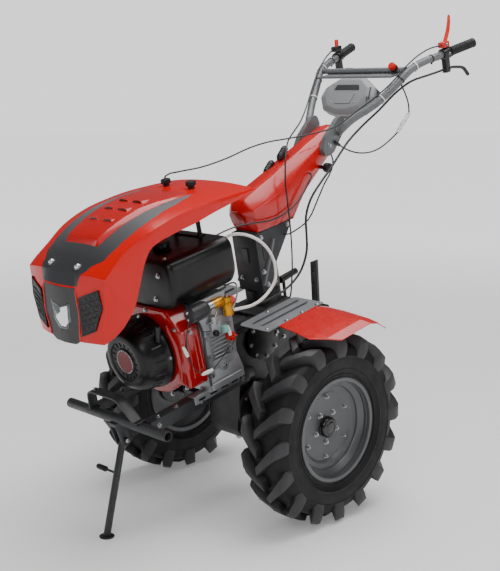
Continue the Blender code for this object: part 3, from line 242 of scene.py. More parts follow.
@dataclass(frozen=True)
class HoodDecal(Finish):
    """Gloss red enamel with a grey vinyl decal that splits into two stripes over the hood.

    The stripe's edges are half-widths at places along the hood, from the nose backwards. Its
    outline is soft over edge_mm, it ends below the hem's two heights, and its grey grows paler
    between the two places of the fade. The slack tucks it under the raised middle's edge.
    """

    decal_front: str = "#353638"
    decal_back: str = "#6c6d6f"
    seam_slack: float = 0.002
    edge_mm: float = 1.5
    hem: tuple = (0.986, 0.988)
    fade: tuple = (-0.56, -0.32)
    edge_y: tuple = (-0.66, -0.62, -0.585, -0.54, -0.49, -0.43, -0.36, -0.28, -0.20, -0.165)
    outer: tuple = (0.080, 0.088, 0.113, 0.144, 0.152, 0.158, 0.160, 0.152, 0.138, 0.121)
    inner: tuple = (0.0, 0.0, 0.0, 0.0, 0.0, 0.094, 0.103, 0.112, 0.118, 0.119)

    def curve(self, tree: Tree, along: Socket, values: Sequence[float]) -> Socket:
        """A half-width that changes along the hood.

        Args:
            tree: the material's node tree.
            along: place along the hood.
            values: the half-widths at the edge's places.

        Returns:
            The half-width.
        """
        start, end = self.edge_y[0], self.edge_y[-1]
        place = add_node(tree, "MapRange", None,
                         {"Value": along, "From Min": start, "From Max": end})
        ramp = add_node(tree, "ValToRGB", None, {"Fac": place.outputs["Result"]})
        ramp.color_ramp.interpolation = "EASE"
        stops = ramp.color_ramp.elements
        while len(stops) < len(values):
            stops.new(0.5)
        for stop, y, value in zip(stops, self.edge_y, values):
            stop.position = (y - start) / (end - start)
            stop.color = (value * 5.0, value * 5.0, value * 5.0, 1.0)
        return add_node(tree, "Math", {"operation": "MULTIPLY"},
                        {0: ramp.outputs["Color"], 1: 0.2}).outputs[0]

    def colour_socket(self, tree: Tree, where: Socket) -> Socket:
        """Red with the decal laid over it.

        Args:
            tree: the material's node tree.
            where: the place on the surface, in object coordinates.

        Returns:
            The colour.
        """
        turn = add_node(tree, "Mapping", {"vector_type": "TEXTURE"},
                        {"Vector": where, "Location": TO_ROW.to_translation(),
                         "Rotation": (NOSE_DOWN, 0.0, 0.0)})
        axes = add_node(tree, "SeparateXYZ", None, {"Vector": turn.outputs["Vector"]})
        across = add_node(tree, "Math", {"operation": "ABSOLUTE"},
                          {0: axes.outputs["X"]}).outputs[0]
        edge = self.edge_mm * MM / 2.0
        limits = []
        for values, sign, slack in ((self.outer, -1.0, 0.0), (self.inner, 1.0, self.seam_slack)):
            limit = self.curve(tree, axes.outputs["Y"], values)
            past = add_node(tree, "Math", {"operation": "SUBTRACT"}, {0: across, 1: limit})
            limits.append((past.outputs[0], -edge * sign - slack, edge * sign - slack))
        end = self.edge_y[-1]
        limits += [(axes.outputs["Y"], end + edge, end - edge), (axes.outputs["Z"], *self.hem)]
        masks = [add_node(tree, "MapRange", None, {"Value": value, "From Min": first,
                                                   "From Max": last}).outputs["Result"]
                 for value, first, last in limits]
        mask = masks[0]
        for other in masks[1:]:
            mask = add_node(tree, "Math", {"operation": "MULTIPLY"}, {0: mask, 1: other}).outputs[0]
        fade = add_node(tree, "MapRange", None, {"Value": axes.outputs["Y"],
                                                 "From Min": self.fade[0],
                                                 "From Max": self.fade[1]})
        grey = add_node(tree, "Mix", {"data_type": "RGBA"},
                        {"Factor": fade.outputs["Result"], "A": linear(self.decal_front),
                         "B": linear(self.decal_back)}).outputs[2]
        red = self.shade(tree, where, self.colour, self.mottle)
        return add_node(tree, "Mix", {"data_type": "RGBA"},
                        {"Factor": mask, "A": red, "B": grey}).outputs[2]


@dataclass(frozen=True)
class MeshGrille(Finish):
    """Black moulded mesh: slanted cells a few millimetres apart, drawn as relief and shade."""

    cell_mm: float = 9.0

    def cells(self, tree: Tree, where: Socket) -> Socket:
        """Crossed slanted bars.

        Args:
            tree: the material's node tree.
            where: the place on the surface, in object coordinates.

        Returns:
            1 on the bars and 0 in the cells.
        """
        bars = []
        for angle in (math.radians(28), math.radians(-52)):
            turn = add_node(tree, "Mapping", None, {"Vector": where, "Rotation": (0.0, angle, 0.0)})
            wave = add_node(tree, "TexWave", {"bands_direction": "Z", "wave_profile": "SIN"},
                            {"Vector": turn.outputs["Vector"], "Scale": 314.0 / self.cell_mm / 2.0})
            bars.append(wave.outputs["Fac"])
        return add_node(tree, "Math", {"operation": "MAXIMUM"}, {0: bars[0], 1: bars[1]}).outputs[0]

    def height(self, tree: Tree, where: Socket) -> Socket:
        """The bars stand proud of the cells."""
        return self.cells(tree, where)

    def colour_socket(self, tree: Tree, where: Socket) -> Socket:
        """Dark cells between slightly lighter bars."""
        near_black = tuple(c * 0.3 for c in linear(self.colour)[:3]) + (1.0,)
        return add_node(tree, "Mix", {"data_type": "RGBA"},
                        {"Factor": self.cells(tree, where), "A": near_black,
                         "B": linear(self.colour)}).outputs[2]


@dataclass(frozen=True)
class Dusted(Finish):
    """A finish with paler blotches of dust and wear."""

    dust: str = "#6a6a6a"
    dust_amount: float = 0.25

    def colour_socket(self, tree: Tree, where: Socket) -> Socket:
        """The base colour, dusted in blotches.

        Args:
            tree: the material's node tree.
            where: the place on the surface, in object coordinates.

        Returns:
            The colour.
        """
        base = self.shade(tree, where, self.colour, self.mottle)
        blotches = add_node(tree, "TexNoise", None, {"Vector": where, "Roughness": NOISE_ROUGHNESS,
                                                     "Scale": blotch_scale(self.mottle_mm * 0.5),
                                                     "Detail": 6.0})
        spots = add_node(tree, "MapRange", None,
                         {"Value": blotches.outputs["Fac"], "From Min": 0.45, "From Max": 0.75,
                          "To Max": self.dust_amount})
        return add_node(tree, "Mix", {"data_type": "RGBA"},
                        {"Factor": spots.outputs["Result"], "A": base,
                         "B": linear(self.dust)}).outputs[2]


@dataclass(frozen=True)
class ClearLens(Finish):
    """Clear polycarbonate, smooth enough to glint, that lets most light through."""

    def extra(self, shader: bpy.types.Node) -> None:
        """Let light through."""
        shader.inputs["Transmission Weight"].default_value = 0.92


# Two-pack enamel over pressed steel: deep gloss with a faint orange peel.
HOOD_ENAMEL = HoodDecal("hood_enamel", "#d00000", "red_hood_paint", roughness=0.24, coat=0.12,
                        ior=1.38, coat_roughness=0.08, grain_mm=2.5, grain_height_mm=0.012,
                        mottle=0.05, rough_spread=0.03)
RED_ENAMEL = Finish("red_enamel", "#c00202", "red_hood_paint", roughness=0.24, coat=0.35,
                    coat_roughness=0.08, grain_mm=2.5, grain_height_mm=0.012, mottle=0.05,
                    rough_spread=0.03)
# Fender enamel on flat sheet: the same red, a little thinner and flatter.
FENDER_ENAMEL = Finish("fender_enamel", "#cc0808", "red_fender_paint", roughness=0.27, coat=0.3,
                       grain_mm=3.0, grain_height_mm=0.02, mottle=0.06, rough_spread=0.04)
# Engine enamel on pressed steel: darker and very glossy, with long streaks of light.
ENGINE_ENAMEL = Finish("engine_enamel", "#a00204", "red_engine_paint", roughness=0.16, coat=0.6,
                       coat_roughness=0.04, grain_mm=6.0, grain_height_mm=0.05, mottle=0.08,
                       rough_spread=0.04)
# Natural rubber, moulded: near black, matt, dusted grey on the lugs.
TYRE_RUBBER = Dusted("moulded_tyre_rubber", "#0a0a0a", "tyre_rubber", roughness=0.58, ior=1.40,
                     grain_mm=1.2, grain_height_mm=0.08, grain_strength=0.5, mottle=0.12,
                     dust="#1c1c1d", dust_amount=0.18)
LUG_RUBBER = Dusted("lug_rubber", "#2b2b2d", "tyre_rubber", roughness=0.5, ior=1.45,
                    grain_mm=1.5, grain_height_mm=0.08, grain_strength=0.5, mottle=0.12,
                    dust="#3a3a3c", dust_amount=0.25)
# Stoved grey enamel on the pressed wheel disc: satin, with a fine metallic lift.
RIM_PAINT = Finish("rim_enamel", "#595a5c", "rim_grey_paint", roughness=0.36, metallic=0.35,
                   grain_mm=2.0, grain_height_mm=0.02, mottle=0.07)
HUB_PAINT = Finish("hub_enamel", "#101011", "hub_black_paint", roughness=0.25, coat=0.3,
                   grain_mm=2.0)
# Powder coat on rolled steel: dark grey with the fine peel of baked powder.
FRAME_POWDER = Dusted("frame_powder_coat", "#2c2d2f", "frame_grey_paint", roughness=0.42,
                      metallic=0.1, grain_mm=1.6, grain_height_mm=0.04, mottle=0.1,
                      dust="#4a4c4e", dust_amount=0.15)
TURRET_POWDER = Dusted("turret_powder_coat", "#303234", "frame_grey_paint", roughness=0.5,
                       metallic=0.1, grain_mm=3.0, grain_height_mm=0.12, mottle=0.16,
                       dust="#505356", dust_amount=0.3)
FENDER_GREY = Finish("fender_grey_enamel", "#808285", "fender_grey_paint", roughness=0.42,
                     metallic=0.15, grain_mm=2.0, grain_height_mm=0.02, mottle=0.06)
HANDLE_GREY = Finish("handle_grey_enamel", "#66686a", "handle_grey_paint", roughness=0.36,
                     metallic=0.2, grain_mm=4.0, grain_height_mm=0.004, mottle=0.06)
# Aluminium, sand cast: pale grey, coarse skin.
CAST_ALUMINIUM = Dusted("sand_cast_aluminium", "#b0b2b5", "cast_aluminium", roughness=0.48,
                        metallic=0.75, grain_mm=1.5, grain_height_mm=0.12, grain_strength=0.6,
                        mottle=0.15, dust="#4a4a4b", dust_amount=0.3)
# Grey iron, sand cast and sprayed black: coarse skin under satin enamel.
BLACK_CASTING = Dusted("black_iron_casting", "#0a0a0b", "black_castings", roughness=0.42,
                       grain_mm=2.0, grain_height_mm=0.2, grain_strength=0.6, mottle=0.2,
                       dust="#1e1e1f", dust_amount=0.3)
# Satin black enamel on the pressed tank, starter cover and silencer.
SATIN_BLACK = Finish("satin_black_enamel", "#09090a", "black_engine_paint", roughness=0.36,
                     ior=1.36, coat=0.15, coat_roughness=0.2, grain_mm=2.0,
                     grain_height_mm=0.03, mottle=0.1)
BLACK_PLASTIC = Finish("moulded_black_abs", "#0b0b0c", "black_plastic", roughness=0.45,
                       grain_mm=0.9, grain_height_mm=0.04, mottle=0.08)
# Gloss black ABS of the nose panel and grilles; also the black plates, rods and sheets of painted
# shade in slots and scoop mouths.
NOSE_PLASTIC_AND_OPENING_SHADE = Finish("nose_black_abs_and_opening_shade", "#070708", "nose_black_plastic", roughness=0.3,
                      grain_mm=0.9, grain_height_mm=0.02, mottle=0.08)
GRILLE = MeshGrille("mesh_grille_abs", "#0b0b0c", "nose_black_plastic", roughness=0.45,
                    grain_height_mm=1.6, grain_strength=0.9)
LEVER_BLACK = Finish("lever_black_coating", "#08080a", "brake_lever_black", roughness=0.3,
                     grain_mm=1.2, mottle=0.08)
GRIP_RUBBER = Finish("moulded_grip_rubber", "#0a0a0a", "grip_rubber", roughness=0.6, grain_mm=0.8,
                     grain_height_mm=0.06, mottle=0.1)
CONSOLE_ABS = Finish("console_grey_abs", "#808284", "console_plastic", roughness=0.42,
                     grain_mm=0.8, grain_height_mm=0.03, mottle=0.05)
# Dark ABS of the console's skirt; also its slot, as painted shade.
CONSOLE_DARK_AND_SLOT_SHADE = Finish("console_dark_abs_and_slot_shade", "#2b2d2f", "console_plastic", roughness=0.5,
                      grain_mm=0.8, grain_height_mm=0.03, mottle=0.05)
RED_PLASTIC = Finish("moulded_red_abs", "#c8140a", "red_plastic", roughness=0.32, grain_mm=0.8,
                     grain_height_mm=0.02, mottle=0.05)
LEVER_RED = Finish("lever_orange_red_abs", "#dc2c18", "red_plastic", roughness=0.35, grain_mm=0.8,
                   grain_height_mm=0.02, mottle=0.05)
SOLENOID_GREY = Finish("solenoid_dark_grey", "#242527", "solenoid_grey", roughness=0.4,
                       grain_mm=1.0, mottle=0.1)
# Yellow-passivated zinc: golden with a faint drift of hue.
YELLOW_ZINC = Finish("yellow_zinc", "#c88a1e", "zinc_yellow", roughness=0.3, metallic=0.85,
                     grain_mm=1.0, mottle_mm=12.0, mottle=0.25)
BRIGHT_STEEL = Finish("bright_zinc_steel", "#a9abad", "frame_grey_paint", roughness=0.28,
                      metallic=1.0, grain_mm=0.6, mottle_mm=10.0, mottle=0.12)
REFLECTOR = Finish("lamp_reflector_foil", "#74777a", "lamp_lens", roughness=0.22, metallic=1.0,
                   grain_mm=3.0, grain_height_mm=0.01, mottle=0.2)
CHROME = Finish("chrome_plate", "#d8dadc", "lamp_lens", roughness=0.08, metallic=1.0,
                grain_mm=3.0, grain_height_mm=0.01, mottle=0.03, rough_spread=0.03)
LENS = ClearLens("clear_polycarbonate", "#8e9498", "lamp_lens", roughness=0.06, ior=1.58,
                 grain_mm=2.0, grain_height_mm=0.01, mottle=0.01, rough_spread=0.03)
CABLE_SLEEVE = Finish("cable_sleeve_pvc", "#191a1b", "cable_jacket", roughness=0.38, grain_mm=0.8,
                      mottle=0.08)
LOOM_SLEEVE = Finish("loom_white_sleeve", "#e4e3de", "loom_white", roughness=0.5, grain_mm=0.8,
                     mottle=0.05)
CONNECTOR = Finish("connector_white_nylon", "#e9e8e4", "loom_white", roughness=0.4, grain_mm=0.8,
                   mottle=0.04)
TEAL_NYLON = Finish("connector_teal_nylon", "#7fb8ad", "loom_white", roughness=0.4, grain_mm=0.8,
                    mottle=0.05)
DISC_DECAL = Finish("starter_disc_foil", "#6c0f13", "red_engine_paint", roughness=0.45,
                    grain_mm=1.0, mottle=0.1)


# ---------------------------------------------------------------- mesh work
class Workpiece:
    """A mesh in the making, in the machine's own upright frame or in the row frame."""

    def __init__(self, name: str, place: Matrix = TO_ROW) -> None:
        """Start an empty mesh with its name and the place that it is moved to at the end.

        Args:
            name: name of the object.
            place: frame that its points are given in.
        """
        self.name = name
        self.place = place
        self.bm = bmesh.new()
        self.finishes: list[Finish] = []
        self.current = 0

    def use(self, finish: Finish) -> "Workpiece":
        """What is added next has this finish.

        Args:
            finish: the finish.

        Returns:
            The workpiece.
        """
        if finish not in self.finishes:
            self.finishes.append(finish)
        self.current = self.finishes.index(finish)
        return self

    def paint_new(self, known: set) -> None:
        """Give the faces that aren't known yet the current finish.

        Args:
            known: the faces that keep theirs.
        """
        for face in self.bm.faces:
            if face not in known:
                face.material_index = self.current
                face.smooth = True

    def block(self, low: Point, high: Point, bevel: float = 0.0, segments: int = 2,
              turn: Optional[Matrix] = None) -> "Workpiece":
        """Add a box between two corners.

        Args:
            low: lowest corner.
            high: highest corner.
            bevel: width of its rounded edges.
            segments: facets of each rounded edge.
            turn: a turn about the box's middle.

        Returns:
            The workpiece.
        """
        known = set(self.bm.faces)
        low, high = Vector(low), Vector(high)
        grow = Matrix.Diagonal((*(high - low), 1.0))
        spin = turn.to_4x4() if turn is not None else Matrix.Identity(4)
        made = bmesh.ops.create_cube(self.bm, size=1.0,
                                     matrix=Matrix.Translation((low + high) / 2) @ spin @ grow)
        self.round_edges(made["verts"], bevel, segments)
        self.paint_new(known)
        return self

    def bevel(self, edges: Iterable[bmesh.types.BMEdge], width: float, segments: int = 2) -> None:
        """Round the given edges to a width.

        Args:
            edges: the edges.
            width: width of the rounding.
            segments: facets of it.
        """
        bmesh.ops.bevel(self.bm, geom=list(edges), offset=width, offset_type="OFFSET",
                        segments=segments, profile=0.5, affect="EDGES", material=-1,
                        clamp_overlap=True)

    def round_edges(self, verts: Iterable[bmesh.types.BMVert], width: float,
                    segments: int) -> None:
        """Bevel every edge at the given vertices.

        Args:
            verts: the vertices.
            width: width of the rounding, 0 for none.
            segments: facets of it.
        """
        if width <= 0:
            return
        edges = {e for v in verts for e in v.link_edges}
        self.bevel(edges, width, segments)

    def bar(self, start: Point, end: Point, radius: float, end_radius: Optional[float] = None,
            sides: int = 24, bevel: float = 0.0, segments: int = 2) -> "Workpiece":
        """Add a round or prismatic bar.

        Args:
            start: centre of its first end.
            end: centre of its second end.
            radius: radius at the start.
            end_radius: radius at the end, the same when not given.
            sides: facets round it, 6 for a hexagon.
            bevel: width of the rounding at its two rims.
            segments: facets of that rounding.

        Returns:
            The workpiece.
        """
        known = set(self.bm.faces)
        start, end = Vector(start), Vector(end)
        way = end - start
        turn = way.to_track_quat("Z", "Y").to_matrix().to_4x4()
        made = bmesh.ops.create_cone(
            self.bm, cap_ends=True, segments=sides, radius1=radius,
            radius2=radius if end_radius is None else end_radius, depth=way.length,
            matrix=Matrix.Translation((start + end) / 2) @ turn)
        if bevel > 0:
            rims = [e for e in {e for v in made["verts"] for e in v.link_edges}
                    if any(len(f.verts) > 4 or sides == 4 for f in e.link_faces)]
            self.bevel(rims, bevel, segments)
        self.paint_new(known)
        return self

    def bolt(self, at: Point, way: Point, across: float = 0.010, tall: float = 0.005,
             washer: bool = True) -> "Workpiece":
        """Add a hexagon bolt head, on a washer.

        Args:
            at: middle of its foot.
            way: direction that it sticks out.
            across: size of the hexagon.
            tall: height of the head.
            washer: whether it sits on a washer.

        Returns:
            The workpiece.
        """
        at, way = Vector(at), Vector(way).normalized()
        foot = at
        if washer:
            foot = at + way * 0.0012
            self.bar(at, foot, across * 0.78, sides=16, bevel=0.0003, segments=1)
        return self.bar(foot, foot + way * tall, across * 0.56, sides=6, bevel=0.0006, segments=1)

    def dome(self, at: Point, way: Point, radius: float, tall: float) -> "Workpiece":
        """Add a domed screw head or cap.

        Args:
            at: middle of its foot.
            way: direction that it sticks out.
            radius: radius of the foot.
            tall: height.

        Returns:
            The workpiece.
        """
        known = set(self.bm.faces)
        at, way = Vector(at), Vector(way).normalized()
        turn = way.to_track_quat("Z", "Y").to_matrix().to_4x4()
        made = bmesh.ops.create_uvsphere(
            self.bm, u_segments=20, v_segments=12, radius=1.0,
            matrix=Matrix.Translation(at) @ turn @ Matrix.Diagonal((radius, radius, tall, 1.0)))
        cut = bmesh.ops.bisect_plane(
            self.bm, geom=made["verts"] + list({e for v in made["verts"] for e in v.link_edges})
            + list({f for v in made["verts"] for f in v.link_faces}), dist=ON_PLANE,
            plane_co=at - way * 0.0002, plane_no=way, clear_inner=True)
        rim = [g for g in cut["geom_cut"] if isinstance(g, bmesh.types.BMEdge)]
        bmesh.ops.contextual_create(self.bm, geom=rim)
        self.paint_new(known)
        return self

    def turned(self, profile: Sequence[Point], centre: Point, axis: Point,
               steps: int = 48) -> "Workpiece":
        """Add a turned shape.

        Args:
            profile: (radius, distance along the axis) pairs round the closed section, or from
                the axis back to it.
            centre: where distance 0 lies.
            axis: direction of the axis.
            steps: facets round it.

        Returns:
            The workpiece.
        """
        known = set(self.bm.faces)
        axis = Vector(axis).normalized()
        turn = axis.to_track_quat("Z", "Y").to_matrix()
        centre = Vector(centre)
        closed = all(r > 1e-6 for r, _ in profile)
        verts = [self.bm.verts.new(centre + turn @ Vector((r, 0.0, a))) for r, a in profile]
        pairs = list(zip(verts, verts[1:])) + ([(verts[-1], verts[0])] if closed else [])
        edges = [self.bm.edges.new(pair) for pair in pairs]
        bmesh.ops.spin(self.bm, geom=verts + edges, cent=centre, axis=axis,
                       angle=2 * math.pi, steps=steps, use_merge=True, use_duplicate=False)
        new = [f for f in self.bm.faces if f not in known]
        points = list({v for f in new for v in f.verts})
        bmesh.ops.remove_doubles(self.bm, verts=points, dist=1e-6)
        new = [f for f in self.bm.faces if f not in known]
        bmesh.ops.recalc_face_normals(self.bm, faces=new)
        self.paint_new(known)
        return self

    def rings(self, rings: Sequence[Sequence[Point]], cap: bool = True,
              closed: bool = True) -> "Workpiece":
        """Add a skin bridged through rings of points that all have as many.

        Args:
            rings: the rings, in order.
            cap: close the first and last ring.
            closed: each ring runs round; an open one is a row across a sheet.

        Returns:
            The workpiece.
        """
        known = set(self.bm.faces)
        loops = []
        for ring in rings:
            verts = [self.bm.verts.new(p) for p in ring]
            pairs = list(zip(verts, verts[1:])) + ([(verts[-1], verts[0])] if closed else [])
            loops.append([self.bm.edges.new(pair) for pair in pairs])
        for first, second in zip(loops, loops[1:]):
            bmesh.ops.bridge_loops(self.bm, edges=first + second)
        if cap:
            for loop in (loops[0], loops[-1]):
                bmesh.ops.contextual_create(self.bm, geom=loop)
        new = [f for f in self.bm.faces if f not in known]
        bmesh.ops.recalc_face_normals(self.bm, faces=new)
        self.paint_new(known)
        return self

    def sweep(self, path: Sequence[Point], radius: float, sides: int = 10,
              flat: float = 1.0) -> "Workpiece":
        """Add a tube or strip along a path, its section squeezed to flat times its width.

        Args:
            path: its centreline.
            radius: half its width.
            sides: facets round it.
            flat: its thickness as a share of its width.

        Returns:
            The workpiece.
        """
        path = [Vector(p) for p in path]
        rings = []
        side: Optional[Vector] = None
        for i, point in enumerate(path):
            way = (path[min(i + 1, len(path) - 1)] - path[max(i - 1, 0)]).normalized()
            if side is None:
                side = way.orthogonal().normalized()
            side = (side - way * side.dot(way)).normalized()
            up = way.cross(side)
            rings.append([point + side * math.cos(a) * radius + up * math.sin(a) * radius * flat
                          for a in (2 * math.pi * k / sides for k in range(sides))])
        return self.rings(rings)

    def copies(self, known: set, centre: Point, axis: Point, count: int) -> "Workpiece":
        """Repeat the faces that aren't known round an axis, to count of them in all.

        Args:
            known: the faces that aren't repeated.
            centre: a point on the axis.
            axis: the axis.
            count: how many there are in the end.

        Returns:
            The workpiece.
        """
        faces = [f for f in self.bm.faces if f not in known]
        geom = (list({v for f in faces for v in f.verts})
                + list({e for f in faces for e in f.edges}) + faces)
        for step in range(1, count):
            made = bmesh.ops.duplicate(self.bm, geom=geom)["geom"]
            turn = Matrix.Rotation(2 * math.pi * step / count, 3, Vector(axis))
            bmesh.ops.rotate(self.bm, cent=Vector(centre), matrix=turn,
                             verts=[g for g in made if isinstance(g, bmesh.types.BMVert)])
        return self

    def cut_with(self, cutter: "Workpiece") -> "Workpiece":
        """Cut this mesh with another closed one, which is used up.

        Args:
            cutter: the mesh that is taken away.

        Returns:
            The workpiece.
        """
        objects = []
        for work in (self, cutter):
            mesh = bpy.data.meshes.new(work.name)
            work.bm.to_mesh(mesh)
            for finish in work.finishes:
                mesh.materials.append(finish.material())
            obj = bpy.data.objects.new(work.name + "_blank", mesh)
            bpy.context.scene.collection.objects.link(obj)
            objects.append(obj)
        step = objects[0].modifiers.new("cut", "BOOLEAN")
        step.operation, step.solver, step.object = "DIFFERENCE", "EXACT", objects[1]
        view = bpy.context.evaluated_depsgraph_get()
        self.bm.clear()
        self.bm.from_mesh(objects[0].evaluated_get(view).to_mesh())
        for obj in objects:
            bpy.data.objects.remove(obj)
        cutter.bm.free()
        bmesh.ops.remove_doubles(self.bm, verts=self.bm.verts, dist=WELD)
        for face in self.bm.faces:
            face.smooth = True
            face.material_index = 0
        return self

    def tree(self) -> BVHTree:
        """A lookup of the mesh's faces, for laying things on it."""
        return BVHTree.FromBMesh(self.bm)

    def done(self, body: Optional[Body], replaces: Sequence[str] = (), angle: float = 32.0,
             slot: Optional[str] = None) -> bpy.types.Object:
        """Finish the mesh and fix it to a body.

        Args:
            body: what it rides on, or nothing for a piece that spans a joint and rides on no body.
            replaces: CAD nodes that it stands for.
            angle: faces that meet at more degrees than this keep a sharp edge.
            slot: the material slot, when not that of its first finish; it is not used.

        Returns:
            The finished object.
        """
        bmesh.ops.transform(self.bm, matrix=self.place, verts=self.bm.verts)
        mesh = bpy.data.meshes.new(self.name)
        self.bm.to_mesh(mesh)
        self.bm.free()
        for finish in self.finishes:
            mesh.materials.append(finish.material())
        mesh.set_sharp_from_angle(angle=math.radians(angle))
        obj = bpy.data.objects.new(self.name, mesh)
        bpy.context.scene.collection.objects.link(obj)
        if body is not None:
            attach(obj, body.value)
        if replaces:
            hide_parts(*replaces)
        LOG.info("%s: %d faces on %s", self.name, len(mesh.polygons),
                 body.value if body else "two bodies")
        return obj


def refine(node: str, finish: Finish, body: Body, bevel: float, shows: float,
           angle: float = 30.0) -> bpy.types.Object:
    """Stand a finished copy in for a CAD node, with its hard edges rounded.

    Args:
        node: the CAD node.
        finish: its surface.
        body: the body that it rides on.
        bevel: width of the rounding.
        shows: an edge is shaded smooth up to this many degrees.
        angle: edges sharper than this many degrees are rounded.

    Returns:
        The copy.
    """
    piece = Workpiece(node + "_finished", Matrix.Identity(4))
    piece.bm.from_mesh(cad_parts[node].data)
    piece.use(finish)
    bmesh.ops.remove_doubles(piece.bm, verts=piece.bm.verts, dist=WELD)
    bmesh.ops.dissolve_limit(piece.bm, angle_limit=FLAT, use_dissolve_boundaries=False,
                             verts=piece.bm.verts, edges=piece.bm.edges)
    if bevel > 0:
        hard = [e for e in piece.bm.edges if len(e.link_faces) == 2
                and e.calc_face_angle(0.0) > math.radians(angle)]
        piece.bevel(hard, bevel)
    for face in piece.bm.faces:
        face.material_index = 0
        face.smooth = True
    return piece.done(body, [node], angle=shows)


def spline(points: Sequence[Point], per_span: int) -> list[Vector]:
    """A smooth curve through points that may lie unevenly, as evenly weighted slopes give it.

    Args:
        points: places on the curve.
        per_span: steps between two of them.

    Returns:
        The curve's places, first and last as given.
    """
    points = [Vector(p) for p in points]
    chords = [b - a for a, b in zip(points, points[1:])]
    slopes = [chords[0].normalized()]
    for before, after in zip(chords, chords[1:]):
        near, far = before.length, after.length
        slopes.append((before * (far / near) + after * (near / far)) / (near + far))
    slopes.append(chords[-1].normalized())
    path = []
    for i, chord in enumerate(chords):
        length = chord.length
        for step in range(per_span):
            t = step / per_span
            path.append(points[i] * (2 * t**3 - 3 * t**2 + 1)
                        + points[i + 1] * (3 * t**2 - 2 * t**3)
                        + slopes[i] * (length * (t**3 - 2 * t**2 + t))
                        + slopes[i + 1] * (length * (t**3 - t**2)))
    path.append(points[-1])
    return path


